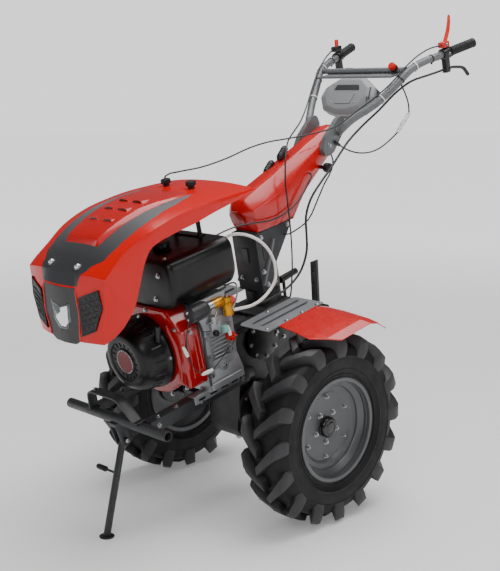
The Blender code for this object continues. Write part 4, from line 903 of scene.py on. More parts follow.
# ---------------------------------------------------------------- wheels
@dataclass
class Wheel:
    """One wheel: a lugged tyre on a pressed rim, bolted to its hub."""

    side: int
    body: Body
    name: str
    half_track: float = 0.368
    rim_radius: float = 0.172
    rim_half: float = 0.067
    sheet: float = 0.004
    disc_inset: float = 0.055
    lugs: int = 16
    lug_edge: float = 0.0022
    steps: int = 96

    @property
    def centre(self) -> Vector:
        """The wheel's middle, from the axle's."""
        return Vector((self.side * self.half_track, 0.0, 0.0))

    def build(self) -> None:
        """Build the tyre, rim and hub."""
        self.tyre()
        self.rim()
        self.hub()

    def tyre(self) -> None:
        """A carcass with a bead, sidewall ribs and a rounded crown, and its chevron lugs."""
        piece = Workpiece(f"{self.name}_tyre_lugged", TO_WHEEL).use(TYRE_RUBBER)
        bead = self.rim_half - self.sheet - 0.0006
        outside = [(0.1632, bead - 0.014), (0.1632, bead), (0.170, bead + 0.0002),
                   (0.180, bead + 0.002), (0.1815, bead + 0.0060), (0.184, bead + 0.0066),
                   (0.186, bead + 0.0050), (0.198, bead + 0.0110), (0.2, 0.0770),
                   (0.203, 0.0772), (0.205, 0.0760), (0.222, 0.0782), (0.240, 0.0770),
                   (0.2415, 0.0782), (0.245, 0.0782), (0.247, 0.0765),
                   (0.262, 0.0725), (0.273, 0.0650), (0.281, 0.0520), (0.285, 0.0330),
                   (0.2865, 0.0150)]
        profile = outside + [(r, -a) for r, a in reversed(outside)]
        profile += [(0.176, -0.046), (0.215, -0.066), (0.255, -0.060), (0.273, -0.030),
                    (0.273, 0.030), (0.255, 0.060), (0.215, 0.066), (0.176, 0.046)]
        piece.turned(profile, self.centre, ACROSS, self.steps)
        piece.use(LUG_RUBBER)
        for half in (1, -1):
            known = set(piece.bm.faces)
            self.lug(piece, half, 0.0 if half > 0 else math.pi / self.lugs)
            piece.copies(known, self.centre, ACROSS, self.lugs)
        piece.done(self.body, [f"{self.name}_tyre"], angle=38.0)

    def lug(self, piece: Workpiece, half: int, phase: float) -> None:
        """One lug from past the crown's middle, over the shoulder and down the sidewall.

        Args:
            piece: the tyre.
            half: 1 for its left half, -1 for the right.
            phase: turn round the axle, in radians.
        """
        over = [(-0.006, 0.3145), (0.028, 0.3145), (0.056, 0.3120), (0.0745, 0.3035),
                (0.0800, 0.2830), (0.0802, 0.2580), (0.0785, 0.2420)]
        under = [(-0.006, 0.2780), (0.028, 0.2780), (0.050, 0.2740), (0.060, 0.2660),
                 (0.067, 0.2580), (0.071, 0.2480), (0.0735, 0.2400)]
        turns = (15.5, 9.5, 4.3, 1.0, 0.0, 0.0, 0.2)
        top_half = (0.0145, 0.0160, 0.0190, 0.0225, 0.0235, 0.0215, 0.0170)
        foot_more = (0.0050, 0.0050, 0.0055, 0.0055, 0.0040, 0.0030, 0.0020)
        rings = []
        for (x_top, r_top), (x_low, r_low), turn, wide, more in zip(over, under, turns, top_half,
                                                                    foot_more):
            ring = []
            for x, r, width in ((x_top, r_top, -wide), (x_top, r_top, wide),
                                (x_low, r_low, wide + more), (x_low, r_low, -wide - more)):
                angle = math.radians(90 + turn) + phase + width / r
                ring.append((self.centre.x + half * x, r * math.cos(angle), r * math.sin(angle)))
            rings.append(ring)
        known = set(piece.bm.faces)
        piece.rings(rings)
        edges = [e for f in piece.bm.faces if f not in known for e in f.edges
                 if e.calc_face_angle(0.0) > math.radians(35)]
        piece.bevel(set(edges), self.lug_edge)
        piece.paint_new(known)

    def rim(self) -> None:
        """The pressed rim with its flange, wells, dished disc, two rings of bolts and valve."""
        piece = Workpiece(f"{self.name}_rim_pressed", TO_WHEEL).use(RIM_PAINT)
        edge, s, side = self.rim_half, self.sheet, self.side
        seat, well = self.rim_radius - 0.010, self.rim_radius - 0.030
        disc = edge - self.disc_inset
        face = [(self.rim_radius - 0.0015, edge), (self.rim_radius, edge - 0.0012),
                (self.rim_radius, edge - s), (seat, edge - s), (seat, edge - 0.026),
                (well, edge - 0.040), (well, -edge + 0.040), (seat, -edge + 0.026),
                (seat, -edge + s), (self.rim_radius, -edge + s), (self.rim_radius, -edge),
                (seat - s, -edge), (seat - s, -edge + 0.024), (well - s, -edge + 0.038),
                (well - s, disc - 0.003), (0.122, disc - 0.002), (0.110, disc - 0.002),
                (0.021, disc - 0.002), (0.021, disc + 0.002), (0.110, disc + 0.002),
                (0.114, disc + 0.0035), (0.119, disc + 0.0080), (0.124, disc + 0.0095),
                (0.132, disc + 0.0100), (well - s, disc + 0.0120), (well - s, edge - 0.038),
                (well - s + 0.002, edge - 0.035), (seat - s - 0.003, edge - 0.028),
                (seat - s, edge - 0.025), (seat - s, edge - 0.016),
                (seat - s + 0.0015, edge - 0.0145), (seat - s + 0.0015, edge - 0.011),
                (seat - s, edge - 0.0095), (seat - s, edge - 0.004),
                (seat - s + 0.0012, edge - 0.0008), (seat - s + 0.003, edge)]
        piece.turned([(r, side * a) for r, a in face], self.centre, ACROSS, self.steps)
        piece.use(BRIGHT_STEEL)
        out = Vector((side, 0, 0))
        for count, at, level, size in ((6, 0.100, disc + 0.002, 0.010),
                                       (5, 0.052, disc + 0.002, 0.0125)):
            known = set(piece.bm.faces)
            turn = math.radians(90 if count == 6 else 54)
            spot = self.centre + Vector((side * level, at * math.cos(turn), at * math.sin(turn)))
            piece.bolt(spot, out, size, 0.0065)
            piece.bar(spot, spot + out * 0.0105, size * 0.30, sides=12, bevel=0.0004, segments=1)
            piece.copies(known, self.centre, ACROSS, count)
        stem = self.centre + Vector((side * (edge - 0.030), 0.148 * math.cos(2.2),
                                     0.148 * math.sin(2.2)))
        piece.use(HUB_PAINT).bar(stem, stem + Vector((side * 0.020, 0, 0)), 0.0045, sides=12,
                                 bevel=0.001)
        piece.done(self.body, [f"{self.name}_rim"], angle=30.0)

    def hub(self) -> None:
        """The hub's flange, axle shaft and ribbed cap."""
        side = self.side
        disc = self.rim_half - self.disc_inset
        inner, outer = disc - 0.0023, disc + 0.0024
        reach = self.half_track - 0.004
        profile = [(0.0, inner + 0.0260), (0.014, inner + 0.0260), (0.0185, inner + 0.0245),
                   (0.0205, inner + 0.0235), (0.0225, inner + 0.0245), (0.0275, inner + 0.0240),
                   (0.0320, inner + 0.0205), (0.0340, inner + 0.0160), (0.0340, inner + 0.012),
                   (0.0330, inner + 0.011), (0.0330, inner + 0.009), (0.0340, inner + 0.008),
                   (0.0340, outer + 0.001), (0.033, outer), (0.0205, outer), (0.0205, inner),
                   (0.0740, inner), (0.0750, inner - 0.001), (0.0750, inner - 0.009),
                   (0.0740, inner - 0.010), (0.036, inner - 0.013), (0.031, inner - 0.018),
                   (0.030, -0.074), (0.029, -0.075), (0.0185, -0.0755), (0.017, -0.078),
                   (0.017, -reach), (0.0, -reach)]
        piece = Workpiece(f"{self.name}_hub_capped", TO_WHEEL).use(HUB_PAINT)
        piece.turned([(r, side * a) for r, a in profile], self.centre, ACROSS, 64)
        piece.done(self.body, [f"{self.name}_hub"], angle=30.0)


# ---------------------------------------------------------------- hood
@dataclass
class Hood:
    """The sheet hood with its raised middle, nose panel, lamp, side grilles and knobs."""

    rows: tuple = (
        # y, crease half-width, crease z, centre z, lower edge half-width, y and z
        (0.020, 0.200, 1.103, 1.116, 0.203, 0.016, 1.094),
        (-0.070, 0.214, 1.110, 1.128, 0.214, -0.070, 1.089),
        (-0.160, 0.217, 1.116, 1.136, 0.215, -0.160, 1.082),
        (-0.240, 0.213, 1.117, 1.138, 0.211, -0.244, 1.071),
        (-0.320, 0.211, 1.113, 1.134, 0.208, -0.330, 1.065),
        (-0.390, 0.207, 1.101, 1.122, 0.204, -0.410, 1.052),
        (-0.450, 0.198, 1.085, 1.104, 0.200, -0.447, 1.015),
        (-0.510, 0.188, 1.058, 1.080, 0.196, -0.478, 0.955),
        (-0.560, 0.191, 1.030, 1.050, 0.192, -0.505, 0.901),
        (-0.590, 0.192, 1.010, 1.024, 0.188, -0.530, 0.872),
    )
    nose: tuple = (
        # z, corner y, face y, corner half-width, lower edge half-width, y and z
        (0.975, -0.596, -0.630, 0.186, 0.184, -0.552, 0.852),
        (0.920, -0.604, -0.636, 0.180, 0.178, -0.570, 0.838),
        (0.865, -0.612, -0.640, 0.172, 0.170, -0.586, 0.827),
        (0.815, -0.616, -0.643, 0.158, 0.158, -0.600, 0.818),
    )
    sheet: float = 0.003
    panel: tuple = ((0.982, 0.078), (0.900, 0.084), (0.818, 0.068), (0.808, 0.050))
    lamp: tuple = ((0.0, 0.922), (0.046, 0.935), (0.040, 0.872), (0.018, 0.848))
    across: tuple = (0.0, 0.12, 0.25, 0.37, 0.45, 0.55, 0.68, 0.80, 0.91, 1.0)
    surface: Optional[BVHTree] = None

    def row(self, half: float, y: float, z: float, mid_y: float, mid_z: float, low_half: float,
            low_y: float, low_z: float) -> list[Vector]:
        """One row of points from the left lower edge over the top to the right one.

        Args:
            half: the crease's half-width.
            y: its place along the hood.
            z: its height.
            mid_y: the middle's place along the hood.
            mid_z: the middle's height.
            low_half: the lower edge's half-width.
            low_y: its place along the hood.
            low_z: its height.

        Returns:
            The points.
        """
        left = [Vector((low_half, low_y, low_z))]
        for t in (0.30, 0.60, 0.86):
            bow = 0.002 * math.sin(math.pi * t)
            left.append(Vector((low_half + (half - low_half) * t + bow, low_y + (y - low_y) * t,
                                low_z + (z - low_z) * t)))
        for u in reversed(self.across):
            left.append(Vector((half * u, y + (mid_y - y) * (1 - u ** 2.0),
                                z + (mid_z - z) * (1 - u ** 2.25))))
        return left + [Vector((-p.x, p.y, p.z)) for p in reversed(left[:-1])]

    def skin_rows(self) -> list[list[Vector]]:
        """The rows of the whole skin, with smooth rows between the named ones.

        Returns:
            The rows, from the back to the nose's lower edge.
        """
        knots = self.rows
        dense = []
        for i in range(len(knots) - 1):
            before, after = knots[max(i - 1, 0)], knots[min(i + 2, len(knots) - 1)]
            for step in range(4):
                t = step / 4
                dense.append([0.5 * (2 * b + (c - a) * t + (2 * a - 5 * b + 4 * c - d) * t * t
                                     + (3 * b - a - 3 * c + d) * t**3)
                              for a, b, c, d in zip(before, knots[i], knots[i + 1], after)])
        dense.append(list(knots[-1]))
        rows = [self.row(half, y, z, y if y > -0.55 else y - 0.5 * (-0.55 - y), mid, *low)
                for y, half, z, mid, *low in dense]
        for i, (z, corner, face, half, *low) in enumerate(self.nose):
            rows.append(self.row(half, corner, z, face, z + 0.004, *low))
        return rows

    def face(self, x: float, z: float) -> float:
        """The y of the front face at a place on it.

        Args:
            x: distance from the middle.
            z: height.

        Returns:
            The y there.
        """
        pairs = list(zip(self.nose, self.nose[1:]))
        high, low = next((pair for pair in pairs if z >= pair[1][0]), pairs[-1])
        t = (z - low[0]) / (high[0] - low[0])
        corner, face, half = (low[i] + t * (high[i] - low[i]) for i in (1, 2, 3))
        return corner + (face - corner) * (1.0 - 0.20 * min(abs(x) / (0.45 * half), 1.0))

    def slab(self, piece: Workpiece, rows: Sequence[Point], front: float, back: float) -> None:
        """Add a slab that follows the front face between two depths.

        Args:
            piece: what it is added to.
            rows: pairs of height and half-width.
            front: depth of its front.
            back: depth of its back.
        """
        rings = []
        for z, half in rows:
            xs = [-half, -half * 0.5, 0.0, half * 0.5, half]
            rings.append([(x, self.face(x, z) + front, z) for x in xs]
                         + [(x, self.face(x, z) + back, z) for x in reversed(xs)])
        piece.rings(rings)

    def on_top(self, x: float, y: float) -> tuple[Vector, Vector]:
        """The place and outward direction of the skin above a point."""
        hit, normal, _, _ = self.surface.ray_cast(Vector((x, y, 2.0)), Vector((0, 0, -1)))
        return hit, normal if normal.z > 0 else -normal

    def build(self) -> None:
        """Build the skin, then what sits in and on it."""
        self.skin()
        self.nose_panel()
        self.lamp_unit()
        self.grilles()
        self.bulge()
        self.fasteners()

    def skin(self) -> None:
        """The enamelled sheet with the panel's opening cut through it."""
        piece = Workpiece("hood_skin", Matrix.Identity(4)).use(HOOD_ENAMEL)
        piece.rings(self.skin_rows(), cap=False, closed=False)
        up = [f for f in piece.bm.faces if f.normal.z < -0.5 and f.calc_center_median().z > 1.0]
        if up:
            bmesh.ops.reverse_faces(piece.bm, faces=piece.bm.faces)
        self.surface = piece.tree()
        bmesh.ops.solidify(piece.bm, geom=piece.bm.faces[:], thickness=self.sheet)
        cutter = Workpiece("nose_opening", Matrix.Identity(4)).use(NOSE_PLASTIC_AND_OPENING_SHADE)
        rows = [(z + 0.0006 * (i == 0) - 0.010 * (i == 3), half + 0.0006)
                for i, (z, half) in enumerate(self.panel)]
        self.slab(cutter, rows, -0.02, 0.03)
        piece.cut_with(cutter)
        piece.place = TO_ROW
        piece.done(Body.CHASSIS, ["hood"], angle=24.0)

    def nose_panel(self) -> None:
        """The black moulded panel with the lamp's opening, and the red strips down its sides."""
        piece = Workpiece("nose_panel_moulded", Matrix.Identity(4)).use(NOSE_PLASTIC_AND_OPENING_SHADE)
        self.slab(piece, self.panel, -0.0008, 0.006)
        cutter = Workpiece("lamp_opening", Matrix.Identity(4)).use(NOSE_PLASTIC_AND_OPENING_SHADE)
        outline = self.lamp_outline(1.0)
        cutter.rings([[(x, self.face(x, z) - 0.02, z) for x, z in outline],
                      [(x, self.face(x, z) + 0.02, z) for x, z in outline]])
        piece.cut_with(cutter)
        piece.place = TO_ROW
        piece.done(Body.CHASSIS, ["nose_panel"], angle=30.0)
        trim = Workpiece("nose_edge_strips").use(RED_ENAMEL)
        for side in (1, -1):
            line = [(side * (half + 0.0025), self.face(half, z) - 0.0010, z)
                    for z, half in ((0.974, 0.0795), (0.940, 0.082), (0.900, 0.0845),
                                    (0.860, 0.0765), (0.823, 0.0695))]
            trim.sweep(spline(line, 2), 0.0028, 8)
        trim.done(Body.CHASSIS)

    def lamp_outline(self, scale: float) -> list[tuple[float, float]]:
        """The lamp's wedge-shaped outline, scaled about its middle, with softened sides.

        Args:
            scale: its size as a share of the whole.

        Returns:
            Pairs of x and z.
        """
        outline = list(self.lamp) + [(-x, z) for x, z in reversed(self.lamp[1:])]
        middle = sum(z for _, z in outline) / len(outline)
        return [(x * scale, middle + (z - middle) * scale) for x, z in outline]

    def lamp_unit(self) -> None:
        """A chromed reflector bowl with two bulb cups, behind a clear cover."""
        bowl = Workpiece("lamp_reflector").use(REFLECTOR)
        steps = ((0.97, 0.0015), (0.93, 0.0060), (0.84, 0.0150), (0.62, 0.0230), (0.30, 0.0260))
        inner = [[(x, self.face(x, z) + depth, z) for x, z in self.lamp_outline(scale)]
                 for scale, depth in steps]
        outer = [[(x, self.face(x, z) + depth + 0.0015, z) for x, z in self.lamp_outline(scale)]
                 for scale, depth in ((0.995, 0.0015), (0.96, 0.0075), (0.87, 0.0170),
                                      (0.4, 0.030))]
        bowl.rings(inner + list(reversed(outer)), cap=False)
        bowl.rings([inner[-1], [(x, y + 0.0012, z) for x, y, z in inner[-1]]])
        for x, z in ((0.0, 0.904), (0.0, 0.872)):
            y = self.face(x, z) + 0.016
            bowl.turned([(0.0, 0.006), (0.0100, 0.006), (0.0125, 0.0), (0.0135, 0.0),
                         (0.0115, 0.008), (0.0, 0.0085)], (x, y, z), ALONG, 24)
            bowl.dome((x, y + 0.005, z), FORWARD, 0.005, 0.007)
        for side in (1, -1):
            bowl.block((side * 0.026 - 0.0010, self.face(0.026, 0.905) + 0.006, 0.872),
                       (side * 0.026 + 0.0010, self.face(0.026, 0.905) + 0.015, 0.925), 0.0005, 1)
        bowl.done(Body.CHASSIS, ["headlight"])
        cover = Workpiece("lamp_cover").use(LENS)
        cover.rings([[(x, self.face(x, z) - 0.0012 - bulge, z) for x, z in self.lamp_outline(scale)]
                     for scale, bulge in ((0.985, -0.0006), (0.96, 0.0006), (0.80, 0.0014))]
                    + [[(x, self.face(x, z) + 0.0002, z) for x, z in self.lamp_outline(scale)]
                       for scale in (0.80, 0.985)])
        cover.done(Body.CHASSIS)

    def grilles(self) -> None:
        """Black mesh inlays on both corners of the nose, each in a thin frame."""
        shape = ((0.098, 0.955), (0.166, 0.978), (0.172, 0.925), (0.142, 0.862), (0.091, 0.842))
        piece = Workpiece("nose_grilles").use(GRILLE)
        for side in (1, -1):
            cx = sum(x for x, _ in shape) / 5
            cz = sum(z for _, z in shape) / 5
            rings = []
            for scale, out in ((1.06, 0.0030), (1.06, -0.0062), (1.0, -0.0068), (0.97, -0.0050)):
                ring = []
                for x, z in shape:
                    px, pz = cx + (x - cx) * scale, cz + (z - cz) * scale
                    ring.append((side * px, self.corner(px, pz) + out, pz))
                rings.append(ring)
            piece.use(NOSE_PLASTIC_AND_OPENING_SHADE).rings(rings, cap=False)
            piece.use(GRILLE).rings([rings[3], [(x, y + 0.001, z) for x, y, z in rings[3]]])
            for k in range(1, 6):
                t = k / 6
                a = (0.096, 0.850 + 0.100 * t)
                b = (0.140 + 0.030 * min(1.0, t * 1.4), 0.868 + 0.106 * t)
                piece.use(NOSE_PLASTIC_AND_OPENING_SHADE).sweep(
                    [(side * x, self.corner(x, z) - 0.0054, z) for x, z in (a, b)], 0.0011, 6)
        piece.done(Body.CHASSIS, angle=25.0, slot="nose_black_plastic")

    def corner(self, x: float, z: float) -> float:
        """The y of the skin between the panel and the corner crease."""
        hit, _, _, _ = self.surface.ray_cast(Vector((x, -1.0, z)), ALONG)
        return hit.y if hit else -0.61

    def bulge(self) -> None:
        """The raised red middle with its steep front and three pairs of air scoops."""
        stations = ((-0.517, 0.078, 0.0), (-0.509, 0.083, 0.0100), (-0.500, 0.085, 0.0130),
                    (-0.470, 0.088, 0.0130), (-0.430, 0.092, 0.0120), (-0.390, 0.096, 0.0108),
                    (-0.340, 0.102, 0.0090), (-0.280, 0.108, 0.0065), (-0.220, 0.112, 0.0038),
                    (-0.170, 0.113, 0.0008))
        piece = Workpiece("hood_bulge").use(RED_ENAMEL)
        rings = []
        for y, half, tall in stations:
            ring = []
            for u in (-1.0, -0.93, -0.86, -0.70, -0.4, 0.0, 0.4, 0.70, 0.86, 0.93, 1.0):
                hit, _ = self.on_top(half * u, y)
                lift = tall * (0.0 if abs(u) > 0.99 else 0.62 if abs(u) > 0.9 else 1.0)
                ring.append(hit + Vector((0, 0, lift + 0.0006)))
            under = [self.on_top(half * u, y)[0] - Vector((0, 0, 0.0010)) for u in (0.9, 0.0, -0.9)]
            rings.append(ring + under)
        piece.rings(rings)
        for y, lift in ((-0.432, 0.0115), (-0.370, 0.0098), (-0.310, 0.0075)):
            for side in (1, -1):
                self.scoop(piece, side * 0.034, y, lift, side)
        piece.done(Body.CHASSIS, angle=26.0)

    def scoop(self, piece: Workpiece, x: float, y: float, lift: float, side: int) -> None:
        """One raised scoop, open towards the nose, with a black sheet in its mouth as painted
        shade.

        Args:
            piece: what it is added to.
            x: middle of its mouth.
            y: place of its mouth along the hood.
            lift: height of its foot over the skin.
            side: 1 when it slants to the left, -1 to the right.
        """
        base = self.on_top(x, y)[0].z + lift
        wide, long, tall = 0.024, 0.038, 0.0075
        rings = []
        for t, h in ((0.0, 1.0), (0.12, 1.08), (0.45, 0.85), (0.8, 0.35), (1.0, 0.02)):
            ring = []
            for u, k in ((-1.0, 0.0), (-0.82, 0.75), (-0.4, 1.0), (0.0, 1.05), (0.4, 1.0),
                         (0.82, 0.75), (1.0, 0.0)):
                w = wide * (1 - 0.35 * t) * u
                ring.append((x + w + side * 0.010 * t, y + long * t, base + tall * h * k - 0.0008))
            rings.append(ring)
        piece.use(RED_ENAMEL).rings(rings)
        # A black sheet across the mouth: painted shade inside the open scoop.
        piece.use(NOSE_PLASTIC_AND_OPENING_SHADE)
        mouth = [(x + wide * u * 0.86, y - 0.0007, base + tall * k * 0.84 - 0.0004)
                 for u, k in ((-0.95, 0.10), (-0.75, 0.70), (-0.4, 0.92), (0.0, 0.98), (0.4, 0.92),
                              (0.75, 0.70), (0.95, 0.10))]
        piece.rings([mouth, [(a, b + 0.0018, c) for a, b, c in mouth]])

    def fasteners(self) -> None:
        """Two chromed dome bolts on the decal, and the two knobs behind the middle."""
        piece = Workpiece("hood_dome_bolts").use(CHROME)
        for side in (1, -1):
            at, way = self.on_top(side * 0.066, -0.588)
            piece.bar(at + way * 0.0002, at + way * 0.0018, 0.0125, sides=24, bevel=0.0005)
            piece.dome(at + way * 0.0016, way, 0.0092, 0.0080)
        piece.done(Body.CHASSIS, slot="frame_grey_paint")
        for side, name in SIDES:
            knob = Workpiece(f"hood_knob_{name}_fluted").use(BLACK_PLASTIC)
            at = (side * 0.061, -0.111, 1.1316)
            knob.turned([(0.0, 0.0), (0.0105, 0.0), (0.0105, 0.006), (0.0135, 0.008),
                         (0.0158, 0.011), (0.0158, 0.019), (0.0140, 0.0225), (0.0090, 0.0238),
                         (0.0, 0.0238)], at, UP, 32)
            known = set(knob.bm.faces)
            flute = Vector(at) + ACROSS * 0.0152
            knob.bar(flute + UP * 0.0095, flute + UP * 0.0205, 0.0014, sides=8)
            knob.copies(known, at, UP, 16)
            knob.done(Body.CHASSIS, [f"hood_knob_{name}"])


# ---------------------------------------------------------------- engine
@dataclass
class Engine:
    """The diesel with its cooling shroud, starter, tank, fuel parts and wiring."""

    crank_z: float = 0.662
    front: float = -0.350
    tank_low: tuple = (-0.095, -0.345, 0.812)
    tank_high: tuple = (0.170, -0.072, 0.973)

    def build(self) -> None:
        """Build every engine piece."""
        self.shroud_details()
        self.starter()
        self.block_details()
        self.tank_details()
        self.fuel_parts()
        self.breathing()
        self.wiring()

    def shroud_details(self) -> None:
        """The blower housing's pressed ribs, its bolts and the gasket's edge."""
        piece = Workpiece("shroud_ribs").use(ENGINE_ENAMEL)
        face = self.front - 0.0006
        for side in (1, -1):
            piece.sweep(spline([(side * 0.136, face, 0.585), (side * 0.142, face, 0.640),
                                (side * 0.138, face, 0.700), (side * 0.112, face, 0.765)], 6),
                        0.0065, 10, 0.45)
        piece.sweep(spline([(0.150, face + 0.004, 0.560), (0.158, face + 0.004, 0.640),
                            (0.156, face + 0.004, 0.735), (0.118, face + 0.003, 0.790)], 6),
                    0.0045, 8, 0.6)
        side_x = 0.1712
        for y in (-0.325, -0.300, -0.285):
            piece.sweep([(side_x - 0.0005, y, 0.585), (side_x - 0.0015, y, 0.650),
                         (side_x - 0.0035, y, 0.715)], 0.0030, 8, 0.6)
        piece.done(Body.CHASSIS)
        bolts = Workpiece("shroud_bolts").use(BRIGHT_STEEL)
        for x, z in ((0.155, 0.560), (-0.140, 0.575), (0.147, 0.755), (-0.138, 0.760),
                     (0.02, 0.802), (0.075, 0.5225), (-0.075, 0.528)):
            bolts.bolt((x, face, z), FORWARD, 0.010, 0.0045)
        for z in (0.545, 0.735):
            bolts.bolt((0.1700, -0.310, z), ACROSS, 0.009, 0.004)
        bolts.done(Body.CHASSIS)
        seam = Workpiece("shroud_gasket_edge").use(FRAME_POWDER)
        seam.sweep(spline([(0.172, -0.2688, 0.535), (0.1745, -0.2688, 0.640),
                           (0.1700, -0.2688, 0.745), (0.118, -0.2688, 0.806)], 8), 0.0042, 8, 0.8)
        seam.done(Body.CHASSIS)

    def starter(self) -> None:
        """The recoil starter: a dished cover with slots round its side drawn as black rods of
        painted shade, a disc and a handle.
        """
        piece = Workpiece("recoil_starter_cover").use(SATIN_BLACK)
        centre = (0.0, self.front - 0.0004, self.crank_z)
        profile = [(0.0, 0.0), (0.120, 0.0), (0.1225, 0.0015), (0.1235, 0.006), (0.1230, 0.013),
                   (0.1195, 0.0175), (0.1165, 0.0250), (0.1150, 0.0300), (0.1085, 0.0690),
                   (0.1050, 0.0780), (0.0990, 0.0900), (0.0920, 0.0985), (0.0820, 0.1040),
                   (0.0680, 0.1050), (0.0660, 0.1042), (0.0640, 0.1010), (0.0460, 0.0995),
                   (0.0445, 0.1020), (0.0430, 0.1035), (0.0405, 0.1035), (0.0395, 0.1020),
                   (0.0, 0.1020)]
        piece.turned(profile, centre, FORWARD, 72)
        # The slots round the cover's side: black rods, painted shade in the openings.
        known = set(piece.bm.faces)
        a, b = centre[1] - 0.032, centre[1] - 0.066
        piece.use(NOSE_PLASTIC_AND_OPENING_SHADE).sweep([(0.1148, a, self.crank_z),
                                       (0.1118, (a + b) / 2, self.crank_z),
                                       (0.1094, b, self.crank_z)], 0.0028, 8)
        piece.copies(known, centre, ALONG, 30)
        known = set(piece.bm.faces)
        piece.use(SATIN_BLACK)
        a = centre[1] - 0.1005
        piece.sweep([(0.050, a, self.crank_z), (0.063, a - 0.0005, self.crank_z)], 0.0022, 6)
        piece.copies(known, centre, ALONG, 18)
        known = set(piece.bm.faces)
        piece.use(BRIGHT_STEEL).bolt((0.1185, centre[1] - 0.0150, self.crank_z), (0.3, -1, 0),
                                     0.0095, 0.004)
        piece.copies(known, centre, ALONG, 4)
        piece.use(DISC_DECAL).bar((0, centre[1] - 0.1018, self.crank_z),
                                  (0, centre[1] - 0.1026, self.crank_z), 0.0365, sides=48,
                                  bevel=0.0003, segments=1)
        piece.use(BRIGHT_STEEL).turned([(0.0362, 0.1020), (0.0388, 0.1020), (0.0388, 0.1032),
                                        (0.0375, 0.1038), (0.0362, 0.1032)], centre, FORWARD, 48)
        piece.done(Body.CHASSIS, ["recoil_starter"])
        pull = Workpiece("starter_pull_handle").use(BLACK_PLASTIC)
        pull.bar((0.092, -0.375, 0.742), (0.108, -0.388, 0.754), 0.009, sides=20, bevel=0.002)
        pull.bar((0.101, -0.386, 0.722), (0.116, -0.386, 0.776), 0.0085, sides=20, bevel=0.003)
        pull.done(Body.CHASSIS)

    def block_details(self) -> None:
        """The crankcase's side castings, the cylinder's fins and a slotted rail, its slots drawn as
        black plates of painted shade.
        """
        piece = Workpiece("crankcase_side_castings").use(CAST_ALUMINIUM)
        x = 0.1525
        for k in range(8):
            z = 0.610 + 0.0125 * k
            piece.block((x - 0.006, -0.225, z), (x + 0.0115 - 0.0006 * k, -0.160, z + 0.0048),
                        0.0012, 1)
        piece.block((0.1450, -0.266, 0.545), (0.1640, -0.236, 0.700), 0.004)
        piece.block((0.1450, -0.236, 0.570), (0.1585, -0.135, 0.602), 0.004)
        piece.bar((0.148, -0.192, 0.575), (0.166, -0.192, 0.575), 0.0165, sides=28, bevel=0.002)
        piece.bar((0.148, -0.150, 0.615), (0.163, -0.150, 0.615), 0.0130, sides=24, bevel=0.002)
        piece.bar((0.146, -0.145, 0.702), (0.162, -0.145, 0.702), 0.0170, sides=24, bevel=0.002)
        piece.block((0.1380, -0.262, 0.512), (0.1740, -0.128, 0.534), 0.003)
        piece.block((0.150, -0.235, 0.702), (0.1665, -0.165, 0.742), 0.004)
        piece.use(BRIGHT_STEEL)
        for y, z in ((-0.251, 0.560), (-0.251, 0.625), (-0.251, 0.686)):
            piece.bolt((0.1640, y, z), ACROSS, 0.0095, 0.0045)
        for y, z in ((-0.192, 0.575), (-0.150, 0.615), (-0.145, 0.702)):
            piece.bolt((0.1655 if z < 0.6 else 0.1625, y, z), ACROSS, 0.0085, 0.004)
        for y in (-0.245, -0.195, -0.145):
            piece.bolt((0.160, y, 0.534), UP, 0.010, 0.005)
        piece.done(Body.CHASSIS)
        fins = Workpiece("cylinder_fins").use(CAST_ALUMINIUM)
        for k in range(9):
            z = 0.806 + 0.0105 * k
            fins.block((-0.1770, -0.2625, z), (-0.0945, -0.1185, z + 0.0035), 0.0010, 1)
        fins.block((-0.172, -0.254, 0.903), (-0.101, -0.126, 0.9045), 0.0004, 1)
        fins.done(Body.CHASSIS)
        slot = Workpiece("rail_slotted_bracket").use(CAST_ALUMINIUM)
        slot.block((0.120, -0.330, 0.5105), (0.1495, -0.130, 0.5145), 0.0012, 1)
        slot.block((0.1500, -0.330, 0.488), (0.1535, -0.130, 0.5145), 0.0012, 1)
        # The rail's slots: thin black plates of painted shade.
        slot.use(NOSE_PLASTIC_AND_OPENING_SHADE)
        for y in (-0.300, -0.250, -0.200, -0.155):
            slot.block((0.1532, y - 0.014, 0.496), (0.1540, y + 0.014, 0.5035), 0.0003, 1)
        slot.use(BRIGHT_STEEL)
        for y in (-0.275, -0.180):
            slot.bolt((0.134, y, 0.5145), UP, 0.012, 0.006)
        slot.done(Body.CHASSIS)

    def tank_details(self) -> None:
        """The pressed tank with its seam, its ribbed cap and its bolts."""
        low, high = self.tank_low, self.tank_high
        piece = Workpiece("fuel_tank_pressed").use(SATIN_BLACK)

        def outline(y: float, grow: float) -> list[Vector]:
            """The tank's rounded section at one place along it.

            Args:
                y: the place along the tank.
                grow: share by which the section is larger.

            Returns:
                The section's points.
            """
            lx, hx, lz, hz = low[0], high[0], low[2], high[2]
            corners = ((lx, lz, 0.020), (hx - 0.030, lz, 0.030), (hx, lz + 0.045, 0.036),
                       (hx, hz, 0.040), (lx, hz, 0.036))
            ring = []
            for i, (cx, cz, radius) in enumerate(corners):
                corner = Vector((cx, cz))
                before = Vector(corners[i - 1][:2]) - corner
                after = Vector(corners[(i + 1) % 5][:2]) - corner
                reach = min(radius, 0.45 * before.length, 0.45 * after.length)
                start = corner + before.normalized() * reach
                end = corner + after.normalized() * reach
                for step in range(8):
                    t = step / 7
                    p = start * (1 - t) ** 2 + corner * 2 * t * (1 - t) + end * t * t
                    ring.append(p)
            middle = Vector(((lx + hx) / 2, (lz + hz) / 2))
            grown = [middle + (p - middle) * (1 + grow) for p in ring]
            return [Vector((p.x, y, p.y)) for p in grown]

